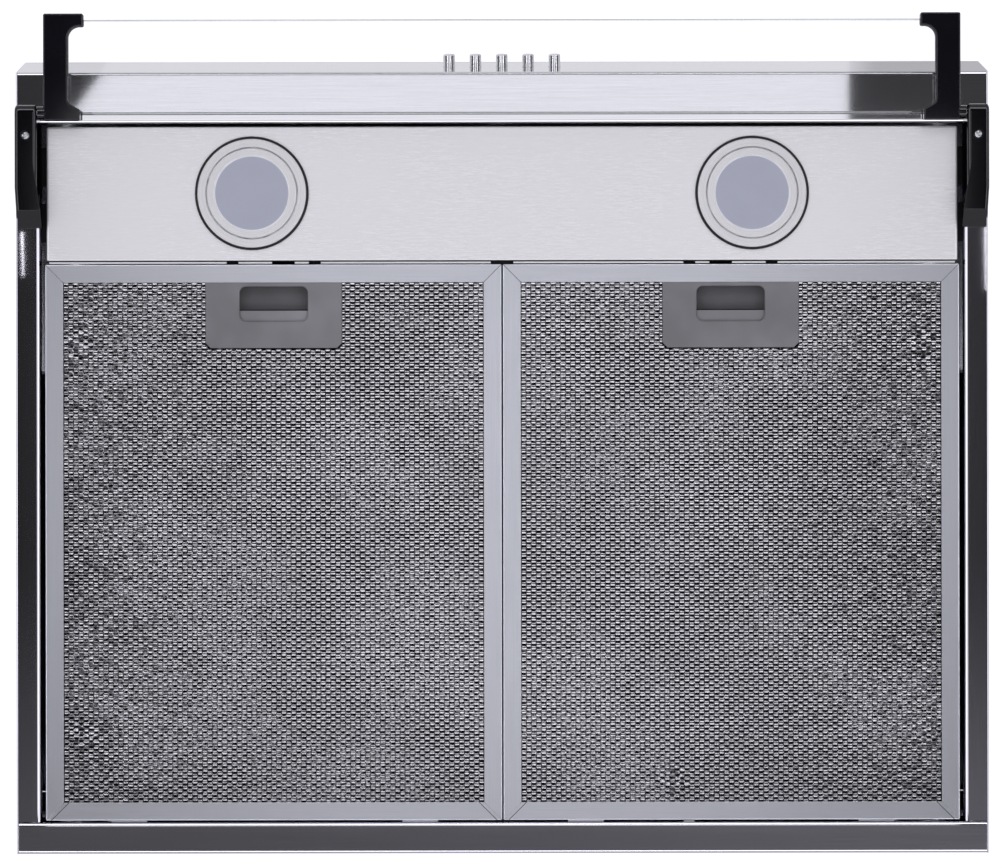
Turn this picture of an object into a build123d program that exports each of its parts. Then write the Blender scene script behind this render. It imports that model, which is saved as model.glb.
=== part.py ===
from build123d import *
import math
import os

# Cooker hood, 60 cm wide, that hangs under a wall cabinet. A glass visor folds out in front.
# The origin is the middle of the four cabinet screw holes, on the flat top face.
# +Z is up, -Y is the front that the cook faces, and X runs along the width. All sizes are in mm.
# Right-hand pieces are mirror images of the left-hand ones.

os.makedirs("parts", exist_ok=True)

# ---- body ----
BODY_WIDTH = 600.0
BODY_HEIGHT = 130.0
TOP_DEPTH = 300.0
UNDER_DEPTH = 482.2
FASCIA_HEIGHT = 60.0
FASCIA_LEAN = 11.0
SHEET = 1.2
BEND_RADIUS = 2.2
EDGE_ROUND = 1.0
FASCIA_LIP = 15.0
BAND_DEPTH = 31.6
BAND_FLANGE = 8.0
BAND_GAP = 2.0
RAIL_WIDTH = 15.0
RAIL_LIP = 10.0
REAR_FLANGE = 19.4
REAR_LIP = 8.4
TOP_FLANGE = 14.0
FIT_GAP = 0.3
SCREW_SPAN_X = 480.0
SCREW_SPAN_Y = 220.0
SCREW_HOLE_RADIUS = 2.75

# ---- lamp panel ----
PANEL_SHEET = 1.0
PANEL_DEPTH = 83.0
PANEL_END_GAP = 4.0
PANEL_BEND = 1.5
PANEL_LIP = 1.4
PANEL_LIP_RISE = 1.6
PANEL_TAB_WIDTH = 24.0
PANEL_TAB_REACH = 11.0
PANEL_SCREW_RADIUS = 1.5
TONGUE_SLOT_EXTRA = 1.4
VENT_SLOT_WIDTH = 14.0
VENT_SLOT_OFFSET = 135.0

# ---- lamps ----
LAMP_SPREAD = 308.6
LAMP_FROM_REAR = 41.9
LAMP_HOLE_RADIUS = 31.5
LAMP_GASKET_RADIUS = 35.1
LAMP_GASKET_THICKNESS = 0.8
LAMP_BEZEL_RADIUS = 33.5
LAMP_BEZEL_THICKNESS = 1.6
LAMP_BEZEL_ROUND = 0.7
LAMP_SLEEVE_RADIUS = 30.8
LAMP_SLEEVE_WALL = 2.2
LAMP_SLEEVE_HEIGHT = 16.0
LAMP_RING_GAP = 0.9
LAMP_RING_THICKNESS = 3.0
LAMP_LENS_RADIUS = 23.1
LAMP_LENS_THICKNESS = 2.0
LAMP_LENS_RECESS = 0.4
LAMP_BODY_HEIGHT = 30.0
LAMP_FIN_COUNT = 5
LAMP_FIN_GROOVE = 3.0
LAMP_FIN_DEPTH = 12.0
LAMP_CLIP_WIDTH = 12.0
LAMP_CLIP_SHEET = 0.8
LAMP_CLIP_REACH = 9.0

# ---- grease filters ----
FILTER_SIDE_GAP = 3.0
FILTER_SEAM = 0.8
FILTER_FRONT_GAP = 2.0
FILTER_REAR_GAP = 1.2
FILTER_RECESS = 0.5
FILTER_THICKNESS = 9.0
FILTER_RAIL = 11.0
FILTER_SHEET = 0.8
FILTER_EDGE_ROUND = 0.6
FILTER_CLEARANCE = 0.2
MITRE_GAP = 0.2
MESH_SHEET = 0.5
MESH_CORE_SHEET = 0.4
MESH_WAVE_COUNT = 12
REAR_TAB_WIDTH = 22.0
REAR_TAB_REACH = 3.2
REAR_TAB_SPREAD = 180.0
DIVIDER_WIDTH = 26.0
DIVIDER_HEIGHT = 12.0

# ---- filter handles and latches ----
HANDLE_FROM_CENTRE = 141.0
HANDLE_WIDTH = 84.0
HANDLE_DEPTH = 40.4
HANDLE_FACE = 1.8
HANDLE_WALL = 1.2
HANDLE_CHAMFER = 3.0
POCKET_WIDTH = 42.0
POCKET_DEPTH = 21.5
POCKET_FROM_RAIL = 2.6
POCKET_RADIUS = 4.0
POCKET_EDGE = 0.5
NECK_HALF = 31.2
TONGUE_SPREAD = 50.8
TONGUE_WIDTH = 6.0
TONGUE_THICKNESS = 2.6
TONGUE_ENGAGE = 2.2
TONGUE_RAMP = 1.2
LATCH_BAR_FROM_RAIL = 16.8
LATCH_BAR_DEPTH = 13.5
SPRING_RADIUS = 1.9
SPRING_WIRE = 0.25
SPRING_COILS = 5

# ---- visor ----
PIVOT_FROM_REAR = 456.7
PIVOT_DROP = 7.5
PIN_RADIUS = 2.0
PIN_CLEARANCE = 0.05
PIN_DEPTH_OUT = 8.0
PIN_DEPTH_IN = 5.8
BRACKET_GAP = 4.0
BRACKET_THICKNESS = 8.0
BRACKET_TAIL = 5.1
BRACKET_REACH = 61.0
BRACKET_STEM = 15.1
BRACKET_HOOK_REACH = 24.6
BRACKET_HOOK_DEPTH = 8.0
BRACKET_FOOT_REACH = 22.5
BRACKET_FOOT_DEPTH = 6.0
BRACKET_FOOT_SLOPE = 4.0
BRACKET_CROOK = 7.0
BRACKET_CORNER = 1.2
BRACKET_EDGE = 0.8
BRACKET_TAIL_ROUND = 3.6
BOSS_RADIUS = 4.4
GLASS_THICKNESS = 4.0
GLASS_GRIP = 7.0
GLASS_FRONT_REACH = 57.2
GLASS_REAR_REACH = 0.3
GLASS_SLACK = 0.1
GLASS_EDGE = 0.8

# ---- hinge housings ----
HOUSING_DROP = 12.0
HOUSING_WIDTH = 13.7
HOUSING_OUTSIDE_GAP = 0.3
HOUSING_NOSE = 5.1
HOUSING_BACK = 60.0
HOUSING_RAMP = 10.6
HOUSING_TAIL_DROP = 2.0
HOUSING_TAIL_LEAN = 2.2
HOUSING_TAIL_TAPER = 1.5
HOUSING_TAIL_START = 46.0
HOUSING_TAIL_BEND = 14.0
HOUSING_ROUND = 2.4
HOUSING_NOSE_ROUND = 4.6
HOUSING_SCREW_BACK = 14.0
SCREW_HEAD_RADIUS = 2.5
SCREW_HEAD_HEIGHT = 1.6
SCREW_SHANK_RADIUS = 1.5
SCREW_RECESS_SLACK = 0.4

# ---- push buttons and switch ----
BUTTON_COUNT = 5
BUTTON_PITCH = 16.4
BUTTON_RADIUS = 3.6
BUTTON_REACH = 8.0
BUTTON_TIP_CHAMFER = 0.7
BUTTON_HOLE_SLACK = 0.3
BUTTON_TRAVEL = 3.5
STEM_RADIUS = 2.4
STEM_SLACK = 0.05
STEM_LENGTH = 9.0
SWITCH_STAND_OFF = 6.5
SWITCH_BODY_DEPTH = 20.0
SWITCH_BODY_HEIGHT = 16.0
SWITCH_END = 12.0
SWITCH_BRACKET_SHEET = 1.0
SWITCH_BRACKET_FOOT = 8.0

# ---- outlet collar and flaps ----
COLLAR_FROM_CREASE = 190.0
COLLAR_RADIUS = 60.0
COLLAR_WALL = 1.6
COLLAR_HEIGHT = 30.0
COLLAR_FLANGE = 12.0
COLLAR_FLANGE_THICKNESS = 1.5
COLLAR_LEDGE = 3.0
SPIGOT_WALL = 1.5
FLAP_THICKNESS = 1.2
FLAP_CLEARANCE = 0.6
FLAP_PIN_SPREAD = 6.4
FLAP_PIN_RADIUS = 1.25
FLAP_PIN_RISE = 1.9
FLAP_BARREL_WALL = 1.0
FLAP_BARREL_LENGTH = 10.0
FLAP_BARREL_SPREAD = 70.0

# ---- blower ----
FAN_X = -130.0
SCROLL_RADIUS = 100.0
SCROLL_STEP = 12.0
SCROLL_MOUTH_START = 16.0
SCROLL_TONGUE = 8.0
SCROLL_WALL = 2.0
SCROLL_HEIGHT = 80.0
SCROLL_EAR_RADIUS = 7.0
INLET_RADIUS = 70.0
INLET_LIP_WALL = 2.0
INLET_LIP_RISE = 8.0
IMPELLER_RADIUS = 92.0
IMPELLER_EYE = 76.0
IMPELLER_WALL = 1.5
IMPELLER_TOP_GAP = 6.0
IMPELLER_HEIGHT = 67.8
IMPELLER_CUP_RADIUS = 58.0
IMPELLER_CUP_DEPTH = 50.0
HUB_RADIUS = 8.0
HUB_RISE = 6.0
BLADE_COUNT = 32
BLADE_SWEEP = 7.0
BLADE_BULGE = 1.6
BLADE_ANGLE_THICKNESS = 0.8
MOTOR_RADIUS = 43.0
MOTOR_HEIGHT = 38.0
MOTOR_BOSS_RADIUS = 9.0
MOTOR_BOSS_HEIGHT = 3.0
MOTOR_GROOVES = 12
MOTOR_GROOVE_WIDTH = 5.0
MOTOR_GROOVE_DEPTH = 1.6
MOTOR_MOUNT_RADIUS = 54.0
MOTOR_MOUNT_THICKNESS = 2.0
MOTOR_SCREW_OFFSET = 48.4
SHAFT_RADIUS = 3.0
SHAFT_CLEARANCE = 0.05

# ---- electrical parts ----
BOX_FROM_SIDE = 125.0
BOX_FROM_REAR = 115.0
BOX_LENGTH = 110.0
BOX_WIDTH = 90.0
BOX_HEIGHT = 38.0
BOX_WALL = 2.0
BOX_LID = 2.5
CAPACITOR_FROM_SIDE = 190.0
CAPACITOR_FROM_REAR = 235.0
CAPACITOR_RADIUS = 16.0
CAPACITOR_LENGTH = 55.0
CAPACITOR_CAP_RADIUS = 12.0
CAPACITOR_CAP_HEIGHT = 4.0
DRIVER_FROM_SIDE = 95.0
DRIVER_FROM_REAR = 235.0
DRIVER_LENGTH = 80.0
DRIVER_WIDTH = 38.0
DRIVER_HEIGHT = 24.0
DRIVER_EAR = 9.0
DRIVER_EAR_THICKNESS = 2.5
GLAND_FROM_SIDE = 180.0
GLAND_FROM_REAR = 30.0
GLAND_BORE_RADIUS = 3.8
GLAND_BODY_RADIUS = 7.0
GLAND_FLANGE_RADIUS = 11.0
GLAND_FLANGE_THICKNESS = 2.0
GLAND_DOME_RADIUS = 8.0
GLAND_DOME_HEIGHT = 7.0
GLAND_NUT_HEIGHT = 5.0

# ---- places that follow from the sizes ----
HALF_WIDTH = BODY_WIDTH / 2
INSIDE_HALF = HALF_WIDTH - SHEET
UNDER_Z = -BODY_HEIGHT
REAR_Y = TOP_DEPTH / 2
FRONT_Y = REAR_Y - UNDER_DEPTH
FASCIA_FOOT = Vector(FRONT_Y, UNDER_Z)
FASCIA_TOP = Vector(FRONT_Y - FASCIA_LEAN, UNDER_Z + FASCIA_HEIGHT)
SLOPE_TOP = Vector(REAR_Y - TOP_DEPTH, 0)
SLOPE = (SLOPE_TOP - FASCIA_TOP).normalized()
FALL = (FASCIA_FOOT - FASCIA_TOP).normalized()
BAND_REAR_Y = FRONT_Y + BAND_DEPTH
REAR_FLANGE_Y = REAR_Y - REAR_FLANGE
RAIL_INNER_X = -HALF_WIDTH + RAIL_WIDTH

PANEL_FRONT_Y = BAND_REAR_Y + BAND_GAP
PANEL_REAR_Y = PANEL_FRONT_Y + PANEL_DEPTH
PANEL_Y = (PANEL_FRONT_Y + PANEL_REAR_Y) / 2
PANEL_HALF = -RAIL_INNER_X - PANEL_END_GAP
PANEL_TOP_Z = UNDER_Z + RAIL_LIP + PANEL_SHEET
LAMP_X = -LAMP_SPREAD / 2
LAMP_Y = PANEL_REAR_Y - LAMP_FROM_REAR

FILTER_HALF_SPAN = -RAIL_INNER_X - FILTER_SIDE_GAP
FILTER_WIDTH = FILTER_HALF_SPAN - FILTER_SEAM / 2
FILTER_X = -(FILTER_HALF_SPAN + FILTER_SEAM / 2) / 2
FILTER_FRONT_Y = PANEL_REAR_Y + FILTER_FRONT_GAP
FILTER_REAR_Y = REAR_FLANGE_Y - FILTER_REAR_GAP
FILTER_DEPTH = FILTER_REAR_Y - FILTER_FRONT_Y
FILTER_Y = (FILTER_FRONT_Y + FILTER_REAR_Y) / 2
FILTER_Z = UNDER_Z + FILTER_RECESS
FILTER_TOP_Z = FILTER_Z + FILTER_THICKNESS
FILTER_INNER_HEIGHT = FILTER_THICKNESS - 2 * FILTER_SHEET
RAIL_BACK_Y = FILTER_FRONT_Y + FILTER_RAIL

HANDLE_X = -HANDLE_FROM_CENTRE
HANDLE_FRONT_Y = RAIL_BACK_Y + FILTER_CLEARANCE / 2
HANDLE_REAR_Y = HANDLE_FRONT_Y + HANDLE_DEPTH
HANDLE_TOP_Z = FILTER_TOP_Z - FILTER_SHEET - FILTER_CLEARANCE / 2
LATCH_Z = (FILTER_Z + HANDLE_FACE + HANDLE_TOP_Z - FILTER_SHEET) / 2
LATCH_HEIGHT = HANDLE_TOP_Z - FILTER_SHEET - FILTER_Z - HANDLE_FACE - 2 * FILTER_CLEARANCE
BAR_FRONT_Y = RAIL_BACK_Y + LATCH_BAR_FROM_RAIL
BAR_REAR_Y = BAR_FRONT_Y + LATCH_BAR_DEPTH
CAVITY_REAR_Y = HANDLE_REAR_Y - HANDLE_WALL
TONGUE_TIP_Y = PANEL_REAR_Y - TONGUE_ENGAGE

PIVOT_Y = REAR_Y - PIVOT_FROM_REAR
PIVOT_Z = UNDER_Z - PIVOT_DROP
HOUSING_INNER_X = -HALF_WIDTH + HOUSING_OUTSIDE_GAP + HOUSING_WIDTH
BRACKET_X = HOUSING_INNER_X + BRACKET_GAP
BOSS_LENGTH = BRACKET_GAP - FIT_GAP
GLASS_END_X = BRACKET_X + GLASS_GRIP
HOUSING_SCREW_X = HOUSING_INNER_X - HOUSING_WIDTH / 2

FASCIA_MIDDLE = (FASCIA_FOOT + FASCIA_TOP) / 2
FASCIA_OUT = Vector(0, FALL.Y, -FALL.X)
FASCIA_UP = Vector(0, -FALL.X, -FALL.Y)
FASCIA_PLANE = Plane(
    origin=(0, FASCIA_MIDDLE.X, FASCIA_MIDDLE.Y), x_dir=(1, 0, 0), z_dir=FASCIA_OUT
)
FASCIA_SECTION = Plane(
    origin=(0, FASCIA_MIDDLE.X, FASCIA_MIDDLE.Y), x_dir=FASCIA_UP, z_dir=(1, 0, 0)
)
BUTTON_INSET = SHEET + SWITCH_STAND_OFF - BUTTON_TRAVEL - FIT_GAP
SWITCH_FRONT = SHEET + SWITCH_STAND_OFF
SWITCH_LENGTH = (BUTTON_COUNT - 1) * BUTTON_PITCH + 2 * SWITCH_END

COLLAR_Y = SLOPE_TOP.X + COLLAR_FROM_CREASE
COLLAR_BORE = COLLAR_RADIUS - COLLAR_WALL
SPIGOT_RADIUS = COLLAR_BORE - COLLAR_LEDGE + SPIGOT_WALL
FLAP_BOTTOM_Z = COLLAR_FLANGE_THICKNESS + FIT_GAP
FLAP_PIN_Z = COLLAR_FLANGE_THICKNESS + FLAP_PIN_RISE
FLAP_PIN_Y = FLAP_PIN_SPREAD / 2
SCROLL_MOUTH = SCROLL_RADIUS + 3 * SCROLL_STEP - SCROLL_MOUTH_START
FAN_Y = COLLAR_Y - SCROLL_MOUTH / 2 - SCROLL_MOUTH_START
SCROLL_TOP_Z = -SHEET
SCROLL_ROOF_Z = SCROLL_TOP_Z - SCROLL_WALL
MOTOR_TOP_Z = SCROLL_ROOF_Z - MOTOR_MOUNT_THICKNESS
SCROLL_EAR_THICKNESS = SCROLL_TOP_Z - MOTOR_TOP_Z
SCROLL_FLOOR_Z = SCROLL_TOP_Z - SCROLL_HEIGHT
IMPELLER_TOP_Z = SCROLL_ROOF_Z - IMPELLER_TOP_GAP
IMPELLER_FOOT_Z = IMPELLER_TOP_Z - IMPELLER_HEIGHT
HUB_FLOOR_Z = IMPELLER_TOP_Z - IMPELLER_CUP_DEPTH
MOTOR_FLOOR_Z = MOTOR_TOP_Z - MOTOR_HEIGHT
GLAND_X = HALF_WIDTH - GLAND_FROM_SIDE
GLAND_Y = REAR_Y - GLAND_FROM_REAR
BOX_X = HALF_WIDTH - BOX_FROM_SIDE
BOX_Y = REAR_Y - BOX_FROM_REAR
CAPACITOR_X = HALF_WIDTH - CAPACITOR_FROM_SIDE
CAPACITOR_Y = REAR_Y - CAPACITOR_FROM_REAR
DRIVER_X = HALF_WIDTH - DRIVER_FROM_SIDE
DRIVER_Y = REAR_Y - DRIVER_FROM_REAR


# ---- helpers ----
def save(piece, name):
    """Label a finished piece and write its STEP file."""
    piece.part.label = name
    export_step(piece.part, f"parts/{name}.step")


def save_pair(left, name):
    """Write a left-hand piece and its mirror image."""
    with BuildPart() as right:
        mirror(left.part, about=Plane.YZ)
    save(left, f"{name}_left")
    save(right, f"{name}_right")


def save_both(left, name):
    """Write a left-hand piece and its mirror image as one group."""
    with BuildPart() as group:
        add(left.part)
        mirror(left.part, about=Plane.YZ)
    save(group, name)


def folded_strip(points, thickness=SHEET):
    """In a sketch: sheet metal along points, on their left-hand side, with rounded bends."""
    with BuildLine() as profile:
        FilletPolyline(*points, radius=BEND_RADIUS)
        offset(amount=thickness, side=Side.LEFT)
    make_face(profile.edges())


def ring(outer, inner):
    """In a sketch: a flat ring."""
    Circle(outer)
    Circle(inner, mode=Mode.SUBTRACT)


def across(y):
    """The upright plane at a given y, with X to the right and Z up. It faces the front."""
    return Plane.XZ.offset(-y)


def around(x, y):
    """The radial section plane of a round piece that stands at x, y."""
    return Plane(origin=(x, y, 0), x_dir=(1, 0, 0), z_dir=(0, -1, 0))


# ---- sheet metal body ----
with BuildPart() as canopy_top:
    with BuildSketch(Plane.YZ):
        folded_strip([(REAR_Y, 0), SLOPE_TOP, FASCIA_TOP])
    extrude(amount=INSIDE_HALF, both=True)
    with BuildSketch(Plane.XY):
        with GridLocations(SCREW_SPAN_X, SCREW_SPAN_Y, 2, 2):
            Circle(SCREW_HOLE_RADIUS)
        with Locations((0, COLLAR_Y)):
            Circle(SPIGOT_RADIUS)
        with Locations((GLAND_X, GLAND_Y)):
            Circle(GLAND_BODY_RADIUS)
    extrude(amount=-SHEET, mode=Mode.SUBTRACT)
save(canopy_top, "canopy_top")

with BuildPart() as rear_panel:
    with BuildSketch(Plane.YZ):
        folded_strip(
            [
                (REAR_FLANGE_Y, UNDER_Z + REAR_LIP),
                (REAR_FLANGE_Y, UNDER_Z),
                (REAR_Y, UNDER_Z),
                (REAR_Y, -SHEET),
                (REAR_Y - TOP_FLANGE, -SHEET),
            ]
        )
    extrude(amount=INSIDE_HALF, both=True)
save(rear_panel, "rear_panel")

lip_corner = FASCIA_TOP + FALL * (SHEET / abs(FALL.cross(SLOPE).Z))
with BuildPart() as fascia:
    with BuildSketch(Plane.YZ):
        folded_strip(
            [
                lip_corner + SLOPE * FASCIA_LIP,
                lip_corner,
                FASCIA_FOOT,
                (BAND_REAR_Y, UNDER_Z),
                (BAND_REAR_Y, UNDER_Z + BAND_FLANGE),
            ]
        )
    extrude(amount=INSIDE_HALF, both=True)
    with BuildSketch(FASCIA_PLANE):
        with GridLocations(BUTTON_PITCH, 0, BUTTON_COUNT, 1):
            Circle(BUTTON_RADIUS + BUTTON_HOLE_SLACK)
    extrude(amount=-2 * SHEET, mode=Mode.SUBTRACT)
save(fascia, "fascia")

with BuildPart() as side_panel:
    with BuildSketch(Plane.YZ.offset(-HALF_WIDTH)):
        with BuildLine():
            Polyline(
                (REAR_Y, UNDER_Z), (REAR_Y, 0), SLOPE_TOP, FASCIA_TOP, FASCIA_FOOT, close=True
            )
        make_face()
    extrude(amount=SHEET)
    with BuildSketch(across(REAR_FLANGE_Y - FIT_GAP)):
        folded_strip(
            [
                (-HALF_WIDTH + SHEET / 2, UNDER_Z),
                (RAIL_INNER_X, UNDER_Z),
                (RAIL_INNER_X, UNDER_Z + RAIL_LIP),
            ]
        )
    extrude(amount=REAR_FLANGE_Y - BAND_REAR_Y - 2 * FIT_GAP)
    with BuildSketch(Plane.XY.offset(-SHEET)):
        with Locations((-INSIDE_HALF, REAR_Y - TOP_FLANGE - BEND_RADIUS)):
            Rectangle(
                TOP_FLANGE, TOP_DEPTH - TOP_FLANGE - 2 * BEND_RADIUS, align=(Align.MIN, Align.MAX)
            )
    extrude(amount=-SHEET)
    fillet(side_panel.edges().filter_by(Axis.Y).group_by(Axis.Z)[0].sort_by(Axis.X)[0], EDGE_ROUND)
save_pair(side_panel, "side_panel")

with BuildPart() as filter_divider:
    with BuildSketch(across(REAR_Y - SHEET)):
        folded_strip(
            [
                (-DIVIDER_WIDTH / 2, FILTER_TOP_Z + FIT_GAP + DIVIDER_HEIGHT),
                (-DIVIDER_WIDTH / 2, FILTER_TOP_Z + FIT_GAP),
                (DIVIDER_WIDTH / 2, FILTER_TOP_Z + FIT_GAP),
                (DIVIDER_WIDTH / 2, FILTER_TOP_Z + FIT_GAP + DIVIDER_HEIGHT),
            ]
        )
    extrude(amount=REAR_Y - SHEET - PANEL_REAR_Y)
save(filter_divider, "filter_divider")

# ---- lamp panel: a shallow tray that rests on the side rails by four tabs ----
tongue_slots = [
    (side * HANDLE_FROM_CENTRE + shift, TONGUE_WIDTH + TONGUE_SLOT_EXTRA)
    for side in (-1, 1)
    for shift in (-TONGUE_SPREAD / 2, TONGUE_SPREAD / 2)
]
vent_slots = [(side * VENT_SLOT_OFFSET, VENT_SLOT_WIDTH) for side in (-1, 0, 1)]
slot_height = LATCH_Z + (TONGUE_THICKNESS + TONGUE_SLOT_EXTRA) / 2 - UNDER_Z - PANEL_LIP_RISE
tab_ys = [
    PANEL_FRONT_Y + PANEL_TAB_WIDTH,
    PANEL_REAR_Y - PANEL_TAB_WIDTH,
]
tab_xs = [-PANEL_HALF, PANEL_HALF]
screw_x = PANEL_HALF + PANEL_TAB_REACH - PANEL_SCREW_RADIUS * 2

with BuildPart() as lamp_panel:
    with BuildSketch(Plane.XY.offset(UNDER_Z)):
        with Locations((0, PANEL_Y)):
            Rectangle(2 * PANEL_HALF, PANEL_DEPTH)
    extrude(amount=RAIL_LIP + PANEL_SHEET)
    fillet(lamp_panel.edges().filter_by(Axis.Z), PANEL_BEND)
    fillet(lamp_panel.edges().group_by(Axis.Z)[0], PANEL_BEND)
    offset(amount=-PANEL_SHEET, openings=lamp_panel.faces().sort_by(Axis.Z)[-1])
    with BuildSketch(Plane.XY.offset(UNDER_Z)):
        with Locations((-LAMP_SPREAD / 2, LAMP_Y), (LAMP_SPREAD / 2, LAMP_Y)):
            Circle(LAMP_HOLE_RADIUS)
    extrude(amount=PANEL_SHEET, mode=Mode.SUBTRACT)
    with BuildSketch(Plane.XY.offset(UNDER_Z + RAIL_LIP)):
        with Locations(*[(x, y) for x in tab_xs for y in tab_ys]):
            Rectangle(2 * PANEL_TAB_REACH, PANEL_TAB_WIDTH)
        with Locations((0, PANEL_Y)):
            Rectangle(2 * PANEL_HALF - PANEL_SHEET, PANEL_DEPTH, mode=Mode.SUBTRACT)
        with Locations(*[(x, y) for x in (-screw_x, screw_x) for y in tab_ys]):
            Circle(PANEL_SCREW_RADIUS, mode=Mode.SUBTRACT)
    extrude(amount=PANEL_SHEET)
    with BuildSketch(Plane.XY.offset(UNDER_Z + PANEL_LIP_RISE)):
        with Locations((0, PANEL_REAR_Y)):
            Rectangle(
                2 * (PANEL_HALF - PANEL_BEND), PANEL_LIP, align=(Align.CENTER, Align.MIN)
            )
    extrude(amount=PANEL_SHEET)
    with BuildSketch(across(PANEL_REAR_Y + PANEL_LIP)):
        for slot_x, slot_width in tongue_slots + vent_slots:
            with Locations((slot_x, UNDER_Z + PANEL_LIP_RISE)):
                Rectangle(slot_width, slot_height, align=(Align.CENTER, Align.MIN))
    extrude(amount=PANEL_LIP + PANEL_SHEET, mode=Mode.SUBTRACT)
save(lamp_panel, "lamp_panel")

with BuildPart() as panel_screws:
    with BuildSketch(Plane.XY.offset(PANEL_TOP_Z)):
        with Locations(*[(x, y) for x in (-screw_x, screw_x) for y in tab_ys]):
            Circle(SCREW_HEAD_RADIUS)
    extrude(amount=SCREW_HEAD_HEIGHT)
    chamfer(panel_screws.edges().group_by(Axis.Z)[-1], SCREW_HEAD_HEIGHT / 2)
    with BuildSketch(Plane.XY.offset(PANEL_TOP_Z)):
        with Locations(*[(x, y) for x in (-screw_x, screw_x) for y in tab_ys]):
            Circle(PANEL_SCREW_RADIUS)
    extrude(amount=-PANEL_SHEET)
save(panel_screws, "panel_screws")

# ---- lamps, each a bezel with a frosted lens in front of a finned body ----
gasket_z = UNDER_Z - LAMP_GASKET_THICKNESS
bezel_z = gasket_z - LAMP_BEZEL_THICKNESS
sleeve_bore = LAMP_SLEEVE_RADIUS - LAMP_SLEEVE_WALL
sleeve_top_z = gasket_z + LAMP_SLEEVE_HEIGHT
lamp_ring_radius = sleeve_bore - LAMP_RING_GAP
lamp_ring_top_z = bezel_z + LAMP_RING_THICKNESS
lens_z = bezel_z + LAMP_LENS_RECESS
lamp_section = around(LAMP_X, LAMP_Y)
lamp_axis = Axis((LAMP_X, LAMP_Y, 0), (0, 0, 1))

with BuildPart() as lamp_gasket:
    with BuildSketch(Plane.XY.offset(gasket_z)):
        with Locations((LAMP_X, LAMP_Y)):
            ring(LAMP_GASKET_RADIUS, LAMP_SLEEVE_RADIUS + FIT_GAP)
    extrude(amount=LAMP_GASKET_THICKNESS)
save_both(lamp_gasket, "lamp_gaskets")

with BuildPart() as lamp_bezel:
    with BuildSketch(lamp_section):
        with BuildLine():
            Polyline(
                (sleeve_bore, bezel_z),
                (LAMP_BEZEL_RADIUS - LAMP_BEZEL_ROUND, bezel_z),
                (LAMP_BEZEL_RADIUS, bezel_z + LAMP_BEZEL_ROUND),
                (LAMP_BEZEL_RADIUS, gasket_z),
                (LAMP_SLEEVE_RADIUS, gasket_z),
                (LAMP_SLEEVE_RADIUS, sleeve_top_z),
                (sleeve_bore, sleeve_top_z),
                close=True,
            )
        make_face()
    revolve(axis=lamp_axis)
save_pair(lamp_bezel, "lamp_bezel")

with BuildPart() as lamp_ring:
    with BuildSketch(Plane.XY.offset(bezel_z)):
        with Locations((LAMP_X, LAMP_Y)):
            ring(lamp_ring_radius, LAMP_LENS_RADIUS)
    extrude(amount=LAMP_RING_THICKNESS)
    chamfer(lamp_ring.edges().group_by(Axis.Z)[0], LAMP_LENS_RECESS)
save_pair(lamp_ring, "lamp_ring")

with BuildPart() as lamp_lens:
    with BuildSketch(Plane.XY.offset(lens_z)):
        with Locations((LAMP_X, LAMP_Y)):
            Circle(LAMP_LENS_RADIUS)
    extrude(amount=LAMP_LENS_THICKNESS)
save_pair(lamp_lens, "lamp_lens")

with BuildPart() as lamp_body:
    with BuildSketch(Plane.XY.offset(lamp_ring_top_z)):
        with Locations((LAMP_X, LAMP_Y)):
            Circle(sleeve_bore)
    extrude(amount=LAMP_BODY_HEIGHT)
    fin_pitch = 2 * sleeve_bore / (LAMP_FIN_COUNT + 1)
    with BuildSketch(Plane.XY.offset(lamp_ring_top_z + LAMP_BODY_HEIGHT)):
        with Locations((LAMP_X, LAMP_Y)):
            with GridLocations(fin_pitch, 0, LAMP_FIN_COUNT, 1):
                Rectangle(LAMP_FIN_GROOVE, 2 * LAMP_SLEEVE_RADIUS)
    extrude(amount=-LAMP_FIN_DEPTH, mode=Mode.SUBTRACT)
save_pair(lamp_body, "lamp_body")

clip_x = LAMP_X - LAMP_SLEEVE_RADIUS
panel_floor_z = UNDER_Z + PANEL_SHEET
with BuildPart() as lamp_clip:
    with BuildSketch(across(LAMP_Y + LAMP_CLIP_WIDTH / 2)):
        with BuildLine():
            Polyline(
                (clip_x, sleeve_top_z),
                (clip_x - LAMP_CLIP_SHEET, sleeve_top_z),
                (clip_x - LAMP_CLIP_REACH, panel_floor_z + LAMP_CLIP_SHEET),
                (clip_x - LAMP_CLIP_REACH, panel_floor_z),
                (clip_x - LAMP_CLIP_REACH + LAMP_CLIP_SHEET, panel_floor_z),
                (clip_x - LAMP_CLIP_SHEET, sleeve_top_z - 2 * LAMP_CLIP_SHEET),
                (clip_x - LAMP_CLIP_SHEET, panel_floor_z + LAMP_CLIP_SHEET),
                (clip_x, panel_floor_z + LAMP_CLIP_SHEET),
                close=True,
            )
        make_face()
    extrude(amount=LAMP_CLIP_WIDTH)
    with BuildSketch(Plane.XY.offset(UNDER_Z)):
        with Locations((LAMP_X, LAMP_Y)):
            Circle(LAMP_SLEEVE_RADIUS)
    extrude(amount=LAMP_SLEEVE_HEIGHT, mode=Mode.SUBTRACT)
    mirror(lamp_clip.part, about=Plane.YZ.offset(LAMP_X))
save_both(lamp_clip, "lamp_clips")

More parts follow.
